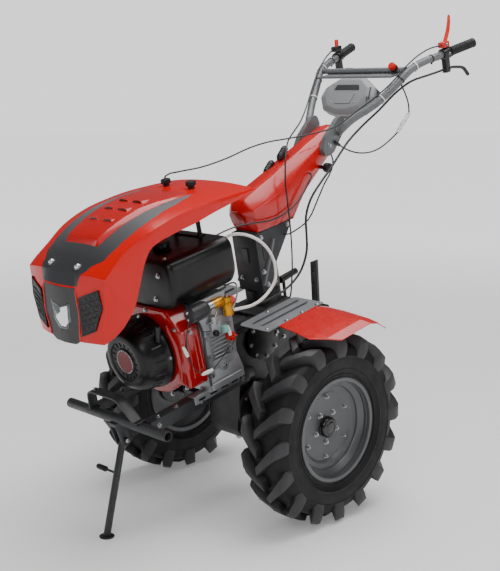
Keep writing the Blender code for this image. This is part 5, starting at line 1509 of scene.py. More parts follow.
        stations = [(low[1], -0.16), (low[1] + 0.0020, -0.085), (low[1] + 0.006, -0.038),
                    (low[1] + 0.012, -0.012), (low[1] + 0.020, 0.0)]
        mirror = [(low[1] + high[1] - y, g) for y, g in reversed(stations)]
        mid = (low[1] + high[1]) / 2
        seam = [(mid - 0.003, 0.0), (mid - 0.0025, 0.0), (mid + 0.0025, 0.0), (mid + 0.003, 0.0)]
        piece.rings([outline(y, g) for y, g in stations + seam + mirror])
        piece.turned([(0.0, 0.0), (0.0300, 0.0), (0.0300, 0.004), (0.0270, 0.006), (0.0285, 0.008),
                      (0.0285, 0.020), (0.0265, 0.0235), (0.0, 0.0240)],
                     (0.030, -0.250, high[2] - 0.001), UP, 36)
        known = set(piece.bm.faces)
        piece.bar((0.0580, -0.250, high[2] + 0.007), (0.0580, -0.250, high[2] + 0.021), 0.0022,
                  sides=8)
        piece.copies(known, (0.030, -0.250, 0.0), UP, 12)
        piece.done(Body.CHASSIS, ["fuel_tank"], angle=30.0)
        bolts = Workpiece("tank_bolts").use(BRIGHT_STEEL)
        for x, z in ((0.112, 0.925), (0.080, 0.845), (-0.060, 0.925), (-0.050, 0.850)):
            bolts.bolt((x, low[1] - 0.0004, z), FORWARD, 0.0115, 0.005)
        for x, y in ((0.128, -0.322), (-0.045, -0.322)):
            bolts.bolt((x, y, high[2] - 0.0006), UP, 0.010, 0.0045)
        bolts.done(Body.CHASSIS)

    def fuel_parts(self) -> None:
        """Solenoids, the fuel filter, two caps, the steel pipes and the injection pump."""
        grey = Workpiece("starter_solenoid_can").use(SOLENOID_GREY)
        grey.turned([(0.0, 0.0), (0.022, 0.0), (0.0262, 0.004), (0.0268, 0.010), (0.0268, 0.060),
                     (0.0245, 0.068), (0.0180, 0.0740), (0.0, 0.0745)], (0.1898, -0.3177, 0.795),
                    ALONG, 32)
        grey.use(BRIGHT_STEEL).bar((0.1898, -0.3175, 0.806), (0.1898, -0.3270, 0.806), 0.0045,
                                   sides=12, bevel=0.0006)
        grey.bar((0.1898, -0.3175, 0.784), (0.1898, -0.3270, 0.784), 0.0045, sides=12, bevel=0.0006)
        grey.done(Body.CHASSIS, ["starter_solenoid"])
        gold = Workpiece("stop_solenoid_can").use(BRIGHT_STEEL)
        at = (0.1788, -0.2420, 0.790)
        gold.turned([(0.0, 0.0), (0.0150, 0.0), (0.0158, 0.001), (0.0158, 0.028), (0.0, 0.0285)],
                    at, ALONG, 32)
        gold.use(YELLOW_ZINC).turned([(0.0, 0.028), (0.0150, 0.028), (0.0158, 0.030),
                                      (0.0158, 0.066), (0.0145, 0.0698), (0.0, 0.0698)], at,
                                     ALONG, 32)
        gold.done(Body.CHASSIS, ["stop_solenoid"], slot="zinc_yellow")
        can = Workpiece("fuel_filter_can").use(YELLOW_ZINC)
        can.turned([(0.0, 0.0), (0.0150, 0.0), (0.0168, 0.002), (0.0168, 0.040), (0.0155, 0.043),
                    (0.0168, 0.046), (0.0168, 0.056), (0.0140, 0.0600), (0.0, 0.0600)],
                   (0.1798, -0.152, 0.735), UP, 32)
        can.use(BRIGHT_STEEL).bar((0.1798, -0.152, 0.7945), (0.1798, -0.152, 0.802), 0.006, sides=6)
        can.done(Body.CHASSIS, ["fuel_filter"])
        red = Workpiece("breather_cap").use(RED_PLASTIC)
        red.turned([(0.0, 0.0), (0.0145, 0.0), (0.0170, 0.003), (0.0170, 0.012), (0.0150, 0.016),
                    (0.0, 0.0168)], (0.158, -0.118, 0.762), (0.5, -0.2, 1), 28)
        red.use(BLACK_CASTING).bar((0.148, -0.126, 0.735), (0.157, -0.119, 0.761), 0.0085, sides=20)
        red.done(Body.CHASSIS)
        knob = Workpiece("oil_filler_knob").use(RED_PLASTIC)
        knob.turned([(0.0, 0.0), (0.0120, 0.0), (0.0120, 0.006), (0.0155, 0.008), (0.0160, 0.012),
                     (0.0160, 0.018), (0.0130, 0.0195), (0.0060, 0.0200), (0.0, 0.0200)],
                    (0.1546, -0.150, 0.660), ACROSS, 28)
        for turn in (0.0, math.pi / 2):
            knob.block((0.172, -0.150 - 0.0135, 0.6575), (0.1858, -0.150 + 0.0135, 0.6625), 0.0016,
                       2, Matrix.Rotation(turn, 3, "X"))
        knob.done(Body.CHASSIS, ["oil_filler_cap"])
        pipes = Workpiece("steel_fuel_pipes").use(BRIGHT_STEEL)
        pipes.sweep(spline([(0.168, -0.158, 0.745), (0.186, -0.150, 0.748), (0.195, -0.130, 0.772),
                            (0.188, -0.105, 0.812), (0.160, -0.090, 0.818), (0.120, -0.100, 0.806)],
                           6), 0.0026, 8)
        pipes.sweep(spline([(0.165, -0.235, 0.730), (0.176, -0.225, 0.738), (0.178, -0.200, 0.760),
                            (0.172, -0.190, 0.772)], 6), 0.0022, 8)
        pipes.bolt((0.1665, -0.200, 0.722), ACROSS, 0.012, 0.007)
        pipes.bolt((0.168, -0.158, 0.745), (1, 0.2, 0), 0.012, 0.007)
        pipes.done(Body.CHASSIS)
        pump = Workpiece("injection_pump").use(CAST_ALUMINIUM)
        pump.block((0.158, -0.232, 0.690), (0.182, -0.190, 0.734), 0.004)
        pump.bar((0.172, -0.211, 0.724), (0.172, -0.211, 0.752), 0.0120, sides=24, bevel=0.002)
        pump.use(BLACK_PLASTIC).bar((0.180, -0.222, 0.700), (0.1925, -0.222, 0.700), 0.0105,
                                    sides=20, bevel=0.002)
        pump.done(Body.CHASSIS)

    def breathing(self) -> None:
        """The silencer's seams and outlet, and the air cleaner's clips and cover."""
        piece = Workpiece("silencer_shell").use(SATIN_BLACK)
        z = 0.9553
        piece.turned([(0.0, 0.0), (0.030, 0.0), (0.044, 0.004), (0.0488, 0.012), (0.0488, 0.014),
                      (0.0500, 0.015), (0.0500, 0.018), (0.0488, 0.019), (0.0488, 0.186),
                      (0.0500, 0.187), (0.0500, 0.190), (0.0488, 0.191), (0.044, 0.201),
                      (0.030, 0.205), (0.0, 0.205)], (-0.1653, -0.335, z), ALONG, 40)
        for k in range(5):
            y = -0.295 + 0.030 * k
            piece.block((-0.2170, y, z - 0.020), (-0.2145, y + 0.014, z + 0.020), 0.0008, 1)
        piece.bar((-0.1653, -0.336, z - 0.010), (-0.1653, -0.352, z - 0.010), 0.013, sides=24,
                  bevel=0.0015)
        piece.done(Body.CHASSIS, ["muffler"])
        clean = Workpiece("air_cleaner_cup").use(BLACK_PLASTIC)
        clean.turned([(0.0, 0.0), (0.040, 0.0), (0.0500, 0.005), (0.0520, 0.012), (0.0520, 0.050),
                      (0.0505, 0.052), (0.0505, 0.056), (0.0520, 0.058), (0.0520, 0.092),
                      (0.0470, 0.100), (0.0180, 0.1045), (0.0, 0.1045)], (-0.1553, -0.1233, 0.865),
                     ALONG, 40)
        clean.use(BRIGHT_STEEL)
        for turn in (0.6, 2.4, 4.2):
            x, zz = -0.1553 + 0.0515 * math.cos(turn), 0.865 + 0.0515 * math.sin(turn)
            clean.bar((x, -0.082, zz), (x, -0.062, zz), 0.0028, sides=8, bevel=0.0005)
        clean.dome((-0.1553, -0.0190, 0.865), ALONG, 0.008, 0.006)
        clean.done(Body.CHASSIS, ["air_filter"])

    def wiring(self) -> None:
        """Thin leads and connectors beside the crankcase, and the boot at the loom's end."""
        leads = Workpiece("engine_leads").use(CABLE_SLEEVE)
        for points in (
            ((0.1735, -0.338, 0.664), (0.1765, -0.330, 0.632), (0.1800, -0.316, 0.606),
             (0.1830, -0.296, 0.592)),
            ((0.1840, -0.262, 0.590), (0.1780, -0.225, 0.600), (0.1740, -0.180, 0.622),
             (0.1700, -0.140, 0.640), (0.150, -0.122, 0.655)),
            ((0.1898, -0.327, 0.784), (0.1960, -0.322, 0.765), (0.1940, -0.290, 0.740),
             (0.1860, -0.262, 0.720), (0.184, -0.242, 0.715)),
            ((0.1710, -0.338, 0.664), (0.1720, -0.334, 0.705), (0.1760, -0.326, 0.745),
             (0.184, -0.321, 0.770)),
        ):
            leads.sweep(spline(points, 5), 0.0016, 6)
        leads.done(Body.CHASSIS)
        white = Workpiece("wiring_connectors").use(CONNECTOR)
        for start, end in (((0.1790, -0.353, 0.700), (0.1745, -0.341, 0.668)),
                           ((0.1835, -0.300, 0.592), (0.1845, -0.262, 0.590)),
                           ((0.1880, -0.172, 0.700), (0.1860, -0.166, 0.672))):
            a, b = Vector(start), Vector(end)
            way = (b - a).normalized()
            white.bar(a, b, 0.0070, sides=4, bevel=0.0012)
            white.bar(a - way * 0.006, a, 0.0050, sides=4, bevel=0.0008)
            white.bar(a + (b - a) * 0.45, a + (b - a) * 0.60, 0.0082, sides=4, bevel=0.0008)
        white.use(TEAL_NYLON).block((0.178, -0.192, 0.690), (0.196, -0.176, 0.712), 0.002, 2)
        white.done(Body.CHASSIS)
        rings = Workpiece("loom_end_boots").use(BLACK_PLASTIC)
        rings.bar((0.105, -0.0712, 0.950), (0.105, -0.060, 0.950), 0.0078, 0.0068, 16, 0.0012)
        rings.done(Body.CHASSIS)


# ---------------------------------------------------------------- running gear
@dataclass
class RunningGear:
    """Gearbox covers, frame bolts, the fenders' ribs and bolts, and the stand's fittings."""

    def build(self) -> None:
        """Build every piece of it."""
        self.gearbox_covers()
        self.frame_bolts()
        self.fender_details()
        self.stand_fittings()

    def gearbox_covers(self) -> None:
        """Bolted side covers with ribs, the drain plug and the clutch bell's ribs."""
        piece = Workpiece("gearbox_side_covers").use(BLACK_CASTING)
        for side in (1, -1):
            x = side * 0.0705
            way = Vector((side, 0, 0))
            for y, z, r, tall in ((0.0, 0.315, 0.098, 0.010), (0.070, 0.545, 0.074, 0.012),
                                  (0.165, 0.560, 0.052, 0.010)):
                piece.turned([(0.0, 0.0), (r, 0.0), (r, tall * 0.6), (r - 0.004, tall * 0.8),
                              (r * 0.62, tall), (r * 0.45, tall * 1.25), (0.0, tall * 1.25)]
                             if r < 0.09 else
                             [(0.045, 0.0), (r, 0.0), (r, tall * 0.7), (r - 0.004, tall),
                              (0.050, tall * 1.3), (0.045, tall * 1.3)], (x, y, z), way, 40)
                known = set(piece.bm.faces)
                piece.use(BRIGHT_STEEL).bolt(Vector((x, y, z + r * 0.86)) + way * tall * 0.85, way,
                                             0.010, 0.005)
                piece.copies(known, (x, y, z), ACROSS, 8 if r > 0.06 else 6)
                piece.use(BLACK_CASTING)
            for angle in (-60, -20, 25, 70, 115, 160):
                c, s = math.cos(math.radians(angle)), math.sin(math.radians(angle))
                piece.sweep([Vector((x + side * 0.004, 0.050 * c, 0.315 + 0.050 * s)),
                             Vector((x + side * 0.004, 0.094 * c, 0.315 + 0.094 * s))], 0.006, 8)
            piece.block((side * 0.068, -0.050, 0.600), (side * 0.078, 0.060, 0.612), 0.002)
        piece.use(BRIGHT_STEEL).bolt((0.0, -0.0500, 0.208), (0, -0.4, -1), 0.016, 0.008)
        piece.done(Body.CHASSIS)
        bell = Workpiece("clutch_bell_ribs").use(BLACK_CASTING)
        for k in range(10):
            a = 2 * math.pi * k / 10
            c, s = math.cos(a), math.sin(a)
            bell.sweep([(0.094 * c, -0.118, 0.610 + 0.094 * s),
                        (0.082 * c, -0.050, 0.610 + 0.082 * s)], 0.004, 6)
        bell.done(Body.CHASSIS)

    def frame_bolts(self) -> None:
        """Bolts and washers along both rails and on the guard, and the guard's two feet."""
        piece = Workpiece("frame_bolts").use(BRIGHT_STEEL)
        for side in (1, -1):
            for y in (-0.470, -0.395, -0.110):
                piece.bolt((side * 0.136, y, 0.5102), UP, 0.012, 0.006)
            for y in (-0.480, -0.300, -0.115):
                piece.bolt((side * 0.1502, y, 0.490), (side, 0, 0), 0.011, 0.006)
        piece.bolt((-0.085, -0.527, 0.5810), UP, 0.011, 0.005)
        piece.done(Body.CHASSIS)
        foot = Workpiece("guard_feet").use(FRAME_POWDER)
        for x0, x1 in ((-0.136, -0.110), (0.096, 0.124)):
            foot.block((x0, -0.545, 0.5125), (x1, -0.509, 0.5165), 0.001, 1)
        foot.done(Body.CHASSIS)

    def fender_details(self) -> None:
        """Pressed ribs on the grey plates, and bolts along the joint and the front edge."""
        ribs = Workpiece("fender_ribs").use(FENDER_GREY)
        bolts = Workpiece("fender_bolts").use(BRIGHT_STEEL)
        edge = Workpiece("fender_edge_beads").use(FENDER_ENAMEL)
        top = 0.6546
        for side in (1, -1):
            for x in (0.158, 0.200):
                ribs.sweep([(side * x, -0.038, top + 0.0002), (side * x, -0.028, top + 0.0014),
                            (side * x, 0.168, top + 0.0014), (side * x, 0.178, top + 0.0002)],
                           0.0085, 10, 0.30)
            for y in (0.030, 0.105, 0.180):
                bolts.dome((side * 0.2470, y, top), UP, 0.0068, 0.0046)
                bolts.bar((side * 0.2470, y, top), (side * 0.2470, y, top + 0.0010), 0.0085,
                          sides=20)
            bolts.dome((side * 0.236, -0.052, top), UP, 0.0068, 0.0046)
            bolts.dome((side * 0.130, 0.060, top), UP, 0.0068, 0.0046)
            edge.sweep([(side * 0.2556, -0.0145, 0.6535), (side * 0.330, -0.0295, 0.6535),
                        (side * 0.4150, -0.0475, 0.6495), (side * 0.4550, -0.0145, 0.6435),
                        (side * 0.4826, 0.0245, 0.6295)], 0.0020, 8)
            edge.block((min(side * 0.2550, side * 0.2610), -0.012, 0.6546),
                       (max(side * 0.2550, side * 0.2610), 0.165, 0.6556), 0.0004, 1)
        ribs.done(Body.CHASSIS)
        bolts.done(Body.CHASSIS)
        edge.done(Body.CHASSIS)

    def stand_fittings(self) -> None:
        """The kick pedal's rubber and the pivot's nuts."""
        pivot = TO_ROW @ Vector((0.0, -0.522, 0.425))
        pin = Workpiece("stand_pivot_nuts", Matrix.Identity(4)).use(BRIGHT_STEEL)
        for side in (1, -1):
            at = pivot + Vector((side * 0.0220, 0, 0))
            pin.bar(at, at + Vector((side * 0.005, 0, 0)), 0.0088, sides=6, bevel=0.0008)
        pin.done(Body.STAND)
        drop = pivot.z - 0.004
        knee = pivot + Vector((0.0, -drop * math.tan(math.radians(13.3)), -drop)) * 0.36
        rubber = Workpiece("stand_pedal_rubber", Matrix.Identity(4)).use(GRIP_RUBBER)
        rubber.turned([(0.0, 0.0), (0.0080, 0.0), (0.0090, 0.002), (0.0090, 0.040),
                       (0.0080, 0.0435), (0.0, 0.0435)], knee - ACROSS * 0.0565, -ACROSS, 24)
        rubber.done(Body.STAND)


# ---------------------------------------------------------------- handle group
CLAMP_INSET = 0.022                 # the lever clamps, from the grips' inner ends
CLAMP_TOP = 0.0228                  # their tops over the tubes' centrelines
LEVER_FOOT = (Vector((-0.013, -0.022, 0.0)), Vector((0.013, 0.016, 0.020)))
SLOPE_UP = Vector((0.0, 0.66, 0.75)).normalized()
SLOPE_OUT = Vector((0.0, -0.75, 0.66)).normalized()


@dataclass
class Handle:
    """What is on the turning column: strut, boots, grips, fittings, console and levers.

    The path is the left tube's centreline, from its bracket to the grip's inner end.
    """

    path: tuple = ((0.074, 0.585, 1.130), (0.098, 0.632, 1.163), (0.150, 0.715, 1.203),
                   (0.190, 0.800, 1.256), (0.215, 0.858, 1.297), (0.232, 0.925, 1.314),
                   (0.2466, 0.980, 1.3185), (0.262, 1.037, 1.3245))

    def build(self) -> None:
        """Build every piece of it."""
        self.column_details()
        self.column_boots()
        for side, name in SIDES:
            self.grip(side, name)
            self.bracket(side, name)
        self.console()
        self.levers()

    def column_details(self) -> None:
        """The turret's strut, its slots drawn as black plates of painted shade, its bolts, the lamp
        lead's grommet and the cover's dark rim.
        """
        piece = Workpiece("turret_strut").use(HANDLE_GREY)
        for side in (1, -1):
            piece.sweep([(side * 0.0625, 0.128, 0.715), (side * 0.0625, 0.205, 0.860)], 0.0060, 4,
                        0.6)
        piece.done(Body.HANDLE)
        bolts = Workpiece("turret_bolts").use(BRIGHT_STEEL)
        for side in (1, -1):
            for y, z in ((0.150, 0.712), (0.186, 0.712), (0.140, 0.760), (0.196, 0.775),
                         (0.150, 0.880), (0.285, 0.887)):
                bolts.bolt((side * 0.0583, y, z), (side, 0, 0), 0.0115, 0.006)
            # A black plate in each side slot: painted shade.
            bolts.use(NOSE_PLASTIC_AND_OPENING_SHADE).block((side * 0.0590 - 0.0010, 0.150, 0.800),
                                          (side * 0.0590 + 0.0010, 0.162, 0.848), 0.0006, 1)
            bolts.use(BRIGHT_STEEL)
        # A black plate in the front slot: painted shade.
        bolts.use(NOSE_PLASTIC_AND_OPENING_SHADE).block((-0.012, 0.1205, 0.795), (0.012, 0.1225, 0.845), 0.0006, 1)
        bolts.use(BRIGHT_STEEL)
        for x in (-0.035, 0.035):
            bolts.bolt((x, 0.1235, 0.735), FORWARD, 0.011, 0.006)
        bolts.done(Body.HANDLE)
        clip = Workpiece("lamp_lead_grommet").use(BLACK_PLASTIC)
        clip.bar((0.0740, 0.5885, 1.0868), (0.0715, 0.5640, 1.1045), 0.0058, 0.0075, 16, 0.001)
        clip.done(Body.HANDLE)
        rim = Workpiece("column_rim").use(NOSE_PLASTIC_AND_OPENING_SHADE)
        for side in (1, -1):
            rim.sweep([(side * 0.0525, 0.150, 0.8995), (side * 0.0600, 0.235, 0.8990),
                       (side * 0.0590, 0.318, 0.8995)], 0.0028, 8)
        rim.done(Body.HANDLE, slot="frame_grey_paint")

    def column_boots(self) -> None:
        """Two ribbed rubber boots on the cover's top, each on a short stem."""
        piece = Workpiece("column_top_boots").use(BLACK_PLASTIC)
        way = Vector((0.0, 0.80, 0.60)).normalized()
        for x, y, z in ((-0.030, 0.302, 1.055), (-0.012, 0.360, 1.092)):
            at = Vector((x, y, z))
            profile = [(0.0, 0.0), (0.0075, 0.0), (0.0100, 0.004), (0.0120, 0.010)]
            profile += [(r, 0.014 + 0.0035 * k) for k, r in enumerate((0.0135, 0.0122) * 5)]
            profile += [(0.0115, 0.052), (0.0060, 0.058), (0.0, 0.058)]
            piece.turned(profile, at, way, 20)
            piece.bar(at + way * 0.026 - Vector((0, 0, 0.020)), at + way * 0.026, 0.004, sides=10)
        piece.done(Body.HANDLE)

    def along(self, side: int, steps: int = 6) -> list[Vector]:
        """The tube's centreline on one side."""
        return spline([(side * x, y, z) for x, y, z in self.path], steps)

    def grip(self, side: int, name: str) -> None:
        """A ribbed rubber grip with flanged ends.

        Args:
            side: 1 for the left, -1 for the right.
            name: the side's name.
        """
        before, end = (Vector((side * x, y, z)) for x, y, z in self.path[-2:])
        way = (end - before).normalized()
        piece = Workpiece(f"grip_{name}_ribbed").use(GRIP_RUBBER)
        profile = [(0.0, 0.0), (0.0175, 0.0), (0.0190, 0.0015), (0.0190, 0.0045), (0.0165, 0.0060)]
        at = 0.0075
        while at < 0.104:
            profile += [(0.0160, at), (0.0170, at + 0.0010), (0.0170, at + 0.0030),
                        (0.0160, at + 0.0040)]
            at += 0.0055
        profile += [(0.0165, 0.1085), (0.0175, 0.1100), (0.0175, 0.1130), (0.0150, 0.1150),
                    (0.0, 0.1150)]
        piece.turned(profile, end + way * 0.0003, way, 28)
        piece.done(Body.HANDLE, [f"grip_{name}"])

    def bracket(self, side: int, name: str) -> None:
        """The two bolts through the bracket, the cable ties and the clamp's screw.

        Args:
            side: 1 for the left, -1 for the right.
            name: the side's name.
        """
        piece = Workpiece(f"handlebar_{name}_fittings").use(BRIGHT_STEEL)
        out = Vector((side, 0, 0))
        x = side * 0.0736
        piece.bolt((x, 0.590, 1.140), out, 0.015, 0.008)
        piece.bolt((x, 0.535, 1.098), out, 0.013, 0.007)
        line = self.along(side)
        for place, finish, size in ((14, CONNECTOR, 0.0150), (20, BLACK_PLASTIC, 0.0150),
                                    (26, CONNECTOR, 0.0150), (33, BLACK_PLASTIC, 0.0150)):
            at = line[place]
            way = (line[place + 1] - line[place - 1]).normalized()
            piece.use(finish).turned([(size - 0.0008, -0.002), (size + 0.0008, -0.002),
                                      (size + 0.0008, 0.002), (size - 0.0008, 0.002)], at, way, 24)
            piece.block(at + Vector((-0.003, -0.003, -size - 0.005)),
                        at + Vector((0.003, 0.003, -size)), 0.0008, 1)
        before, end = line[-2], line[-1]
        way = (end - before).normalized()
        clamp = end - way * CLAMP_INSET
        piece.use(BRIGHT_STEEL).bolt(clamp + out * 0.0205, out, 0.008, 0.004)
        piece.done(Body.HANDLE, slot="handle_grey_paint")

    def console(self) -> None:
        """The moulded instrument housing: faceted top, a recessed slot drawn flat in dark plastic
        as painted shade, dark skirt and ribs.
        """
        centre = Vector((0.0, 0.740, 1.240))

        def at(u: float, v: float, n: float) -> Vector:
            """A place on the console's sloping face."""
            return centre + ACROSS * u + SLOPE_UP * v + SLOPE_OUT * n

        outer = [(0.062, 0.068), (0.118, 0.030), (0.128, -0.010), (0.095, -0.062), (0.030, -0.080)]
        inner = [(0.052, 0.056), (0.092, 0.024), (0.092, -0.010), (0.070, -0.048), (0.026, -0.062)]
        outer += [(-u, v) for u, v in reversed(outer)]
        inner += [(-u, v) for u, v in reversed(inner)]
        piece = Workpiece("console_housing").use(CONSOLE_ABS)
        rings = [[at(u, v, -0.030) for u, v in outer], [at(u, v, -0.014) for u, v in outer],
                 [at(u, v, 0.0) for u, v in inner]]
        piece.rings(rings)
        hard = [e for e in piece.bm.edges if e.calc_face_angle(0.0) > math.radians(15)]
        piece.bevel(hard, 0.004, 3)
        piece.use(CONSOLE_DARK_AND_SLOT_SHADE)
        piece.rings([[at(u * 0.985, v * 0.985, -0.0305) for u, v in outer],
                     [at(u * 0.985, v * 0.985, -0.050) for u, v in outer]])
        # The slot: a dark band round a dark plate, painted shade where the recess lies.
        piece.rings([[at(u, v, 0.0008) for u, v in ring] for ring in (
            ((-0.052, 0.034), (0.052, 0.034), (0.060, 0.012), (-0.060, 0.012)),
            ((-0.050, 0.032), (0.050, 0.032), (0.057, 0.014), (-0.057, 0.014)))], cap=False)
        piece.rings([[at(u, v, n) for u, v in ((-0.050, 0.032), (0.050, 0.032), (0.057, 0.014),
                                               (-0.057, 0.014))] for n in (0.0006, -0.0002)])
        piece.use(CONSOLE_ABS).rings(
            [[at(u, v, n) for u, v in ((-0.046, -0.004), (0.046, -0.004), (0.036, -0.042),
                                       (-0.036, -0.042))] for n in (-0.001, 0.0020)])
        piece.use(NOSE_PLASTIC_AND_OPENING_SHADE)
        for k in (0, 1):
            piece.sweep([at(0.104 - 0.010 * k, 0.026 - 0.012 * k, -0.0055),
                         at(0.112 - 0.006 * k, -0.020 - 0.006 * k, -0.0055)], 0.0022, 6)
        piece.use(BRIGHT_STEEL)
        for u, v in ((0.070, 0.040), (-0.070, 0.040), (0.060, -0.040), (-0.060, -0.040)):
            piece.dome(at(u * 0.92, v * 0.9, 0.0004), SLOPE_OUT, 0.0035, 0.0018)
        piece.done(Body.HANDLE, ["console"], angle=25.0)

    def levers(self) -> None:
        """The clutch blade, stop switch, cross-tube knob, brake levers and the depth bar's pins."""
        before, end = (Vector(p) for p in self.path[-2:])
        foot = end - (end - before).normalized() * CLAMP_INSET + UP * CLAMP_TOP
        blade = Workpiece("clutch_lever_blade").use(RED_PLASTIC)
        blade.block(foot + LEVER_FOOT[0], foot + LEVER_FOOT[1], 0.003)
        blade.use(LEVER_RED)
        rings = []
        for t, half, thick in ((0.0, 0.0085, 0.0070), (0.15, 0.0095, 0.0055),
                               (0.45, 0.0090, 0.0040), (0.75, 0.0075, 0.0034),
                               (0.93, 0.0062, 0.0032), (1.0, 0.0035, 0.0025)):
            mid = foot + Vector((0.006 * t, 0.036 * t + 0.010 * math.sin(math.pi * t),
                                 0.012 + 0.098 * t))
            rings.append([mid + Vector((math.cos(a) * half, math.sin(a) * thick * 0.8, 0))
                          for a in (2 * math.pi * k / 12 for k in range(12))])
        blade.rings(rings)
        blade.use(BRIGHT_STEEL).bolt(foot + Vector((0.0130, -0.003, 0.010)), ACROSS, 0.008, 0.004)
        blade.done(Body.HANDLE, ["clutch_lever"])
        far = Vector((-foot.x, foot.y, foot.z))
        stop = Workpiece("throttle_lever_switch").use(BLACK_PLASTIC)
        stop.block(far + LEVER_FOOT[0], far + LEVER_FOOT[1], 0.003)
        stop.use(RED_PLASTIC)
        stop.sweep([far + Vector((0, 0, 0.016)), far + Vector((-0.002, 0.004, 0.030)),
                    far + Vector((-0.005, 0.009, 0.043))], 0.0075, 12, 0.6)
        stop.done(Body.HANDLE, ["throttle_lever"], slot="red_plastic")
        knob = Workpiece("throttle_knob_ribbed").use(BLACK_PLASTIC)
        way = SLOPE_OUT
        at = Vector((0.150, 0.858, 1.297)) + way * 0.0108
        knob.turned([(0.0, 0.0), (0.0150, 0.0), (0.0150, 0.006), (0.0, 0.006)], at, way, 28)
        knob.use(RED_PLASTIC).turned([(0.0, 0.006), (0.0125, 0.006), (0.0140, 0.009),
                                      (0.0140, 0.021), (0.0115, 0.0250), (0.0, 0.0262)],
                                     at, way, 28)
        knob.done(Body.HANDLE, ["throttle_knob"], slot="red_plastic")
        for side, name in SIDES:
            start, tip = (Vector((side * x, y, z)) for x, y, z in self.path[-2:])
            along = (tip - start).normalized()
            ring = tip - along * CLAMP_INSET
            foot = ring + Vector((0, 0.0142, -0.056))
            line = spline([foot, foot + Vector((0, 0.010, 0)),
                           foot + Vector((side * 0.002, 0.045, -0.005)),
                           foot + Vector((side * 0.004, 0.085, -0.018)),
                           foot + Vector((side * 0.005, 0.108, -0.045))], 5)
            lever = Workpiece(f"brake_lever_{name}_blade").use(LEVER_BLACK)
            lever.sweep(line, 0.0066, 12, 0.62)
            lever.dome(line[-1], line[-1] - line[-2], 0.0064, 0.0050)
            lever.bar(ring + Vector((side * -0.010, 0.006, -0.056)),
                      ring + Vector((side * 0.010, 0.006, -0.056)), 0.0045, sides=12, bevel=0.0008)
            lever.done(Body.HANDLE, [f"brake_lever_{name}"])
        bar = Workpiece("depth_bar_pins").use(BRIGHT_STEEL)
        bar.bar((-0.052, 0.428, 0.475), (0.052, 0.428, 0.475), 0.006, sides=16, bevel=0.001)
        bar.bolt((0.0402, 0.300, 0.475), ACROSS, 0.014, 0.007)
        bar.done(Body.CHASSIS)


@dataclass(frozen=True)
class Cable:
    """One cable on its route, held at both ends."""

    name: str
    route: tuple
    radius: float = 0.0028
    finish: Finish = CABLE_SLEEVE
    body: Body = Body.HANDLE
    crosses: bool = False
    stiffness: str = "medium"
    per_span: int = 3
    straight: float = 0.4
    plug: tuple = ()

    def plug_piece(self) -> bpy.types.Object:
        """The white two-part plug on the cable, between two places on its route.

        Returns:
            The plug.
        """
        start, end = (Vector(p) for p in self.plug)
        way = (end - start).normalized()
        piece = Workpiece(f"{self.name}_plug").use(CONNECTOR)
        piece.bar(start, end, 0.0092, sides=4, bevel=0.0014)
        piece.bar(start.lerp(end, 0.45), start.lerp(end, 0.62), 0.0108, sides=4, bevel=0.001)
        piece.bar(start - way * 0.008, start, 0.0062, sides=4, bevel=0.0008)
        return piece.done(self.body, slot="loom_white")

    def build(self) -> bpy.types.Object:
        """Returns:
            The tube.
        """
        points = [Vector(p) for p in self.route]
        points.insert(1, points[0].lerp(points[1], self.straight))
        points.insert(-1, points[-1].lerp(points[-2], self.straight))
        line = spline(points, self.per_span)
        piece = Workpiece(f"{self.name}_sleeve").use(self.finish)
        piece.sweep(line, self.radius, 12)
        body = None if self.crosses else self.body
        obj = piece.done(body, [f"cable_{self.name}"], angle=40.0)
        if self.crosses:
            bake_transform(obj)
        extras = [self.plug_piece()] if self.plug else []
        return obj


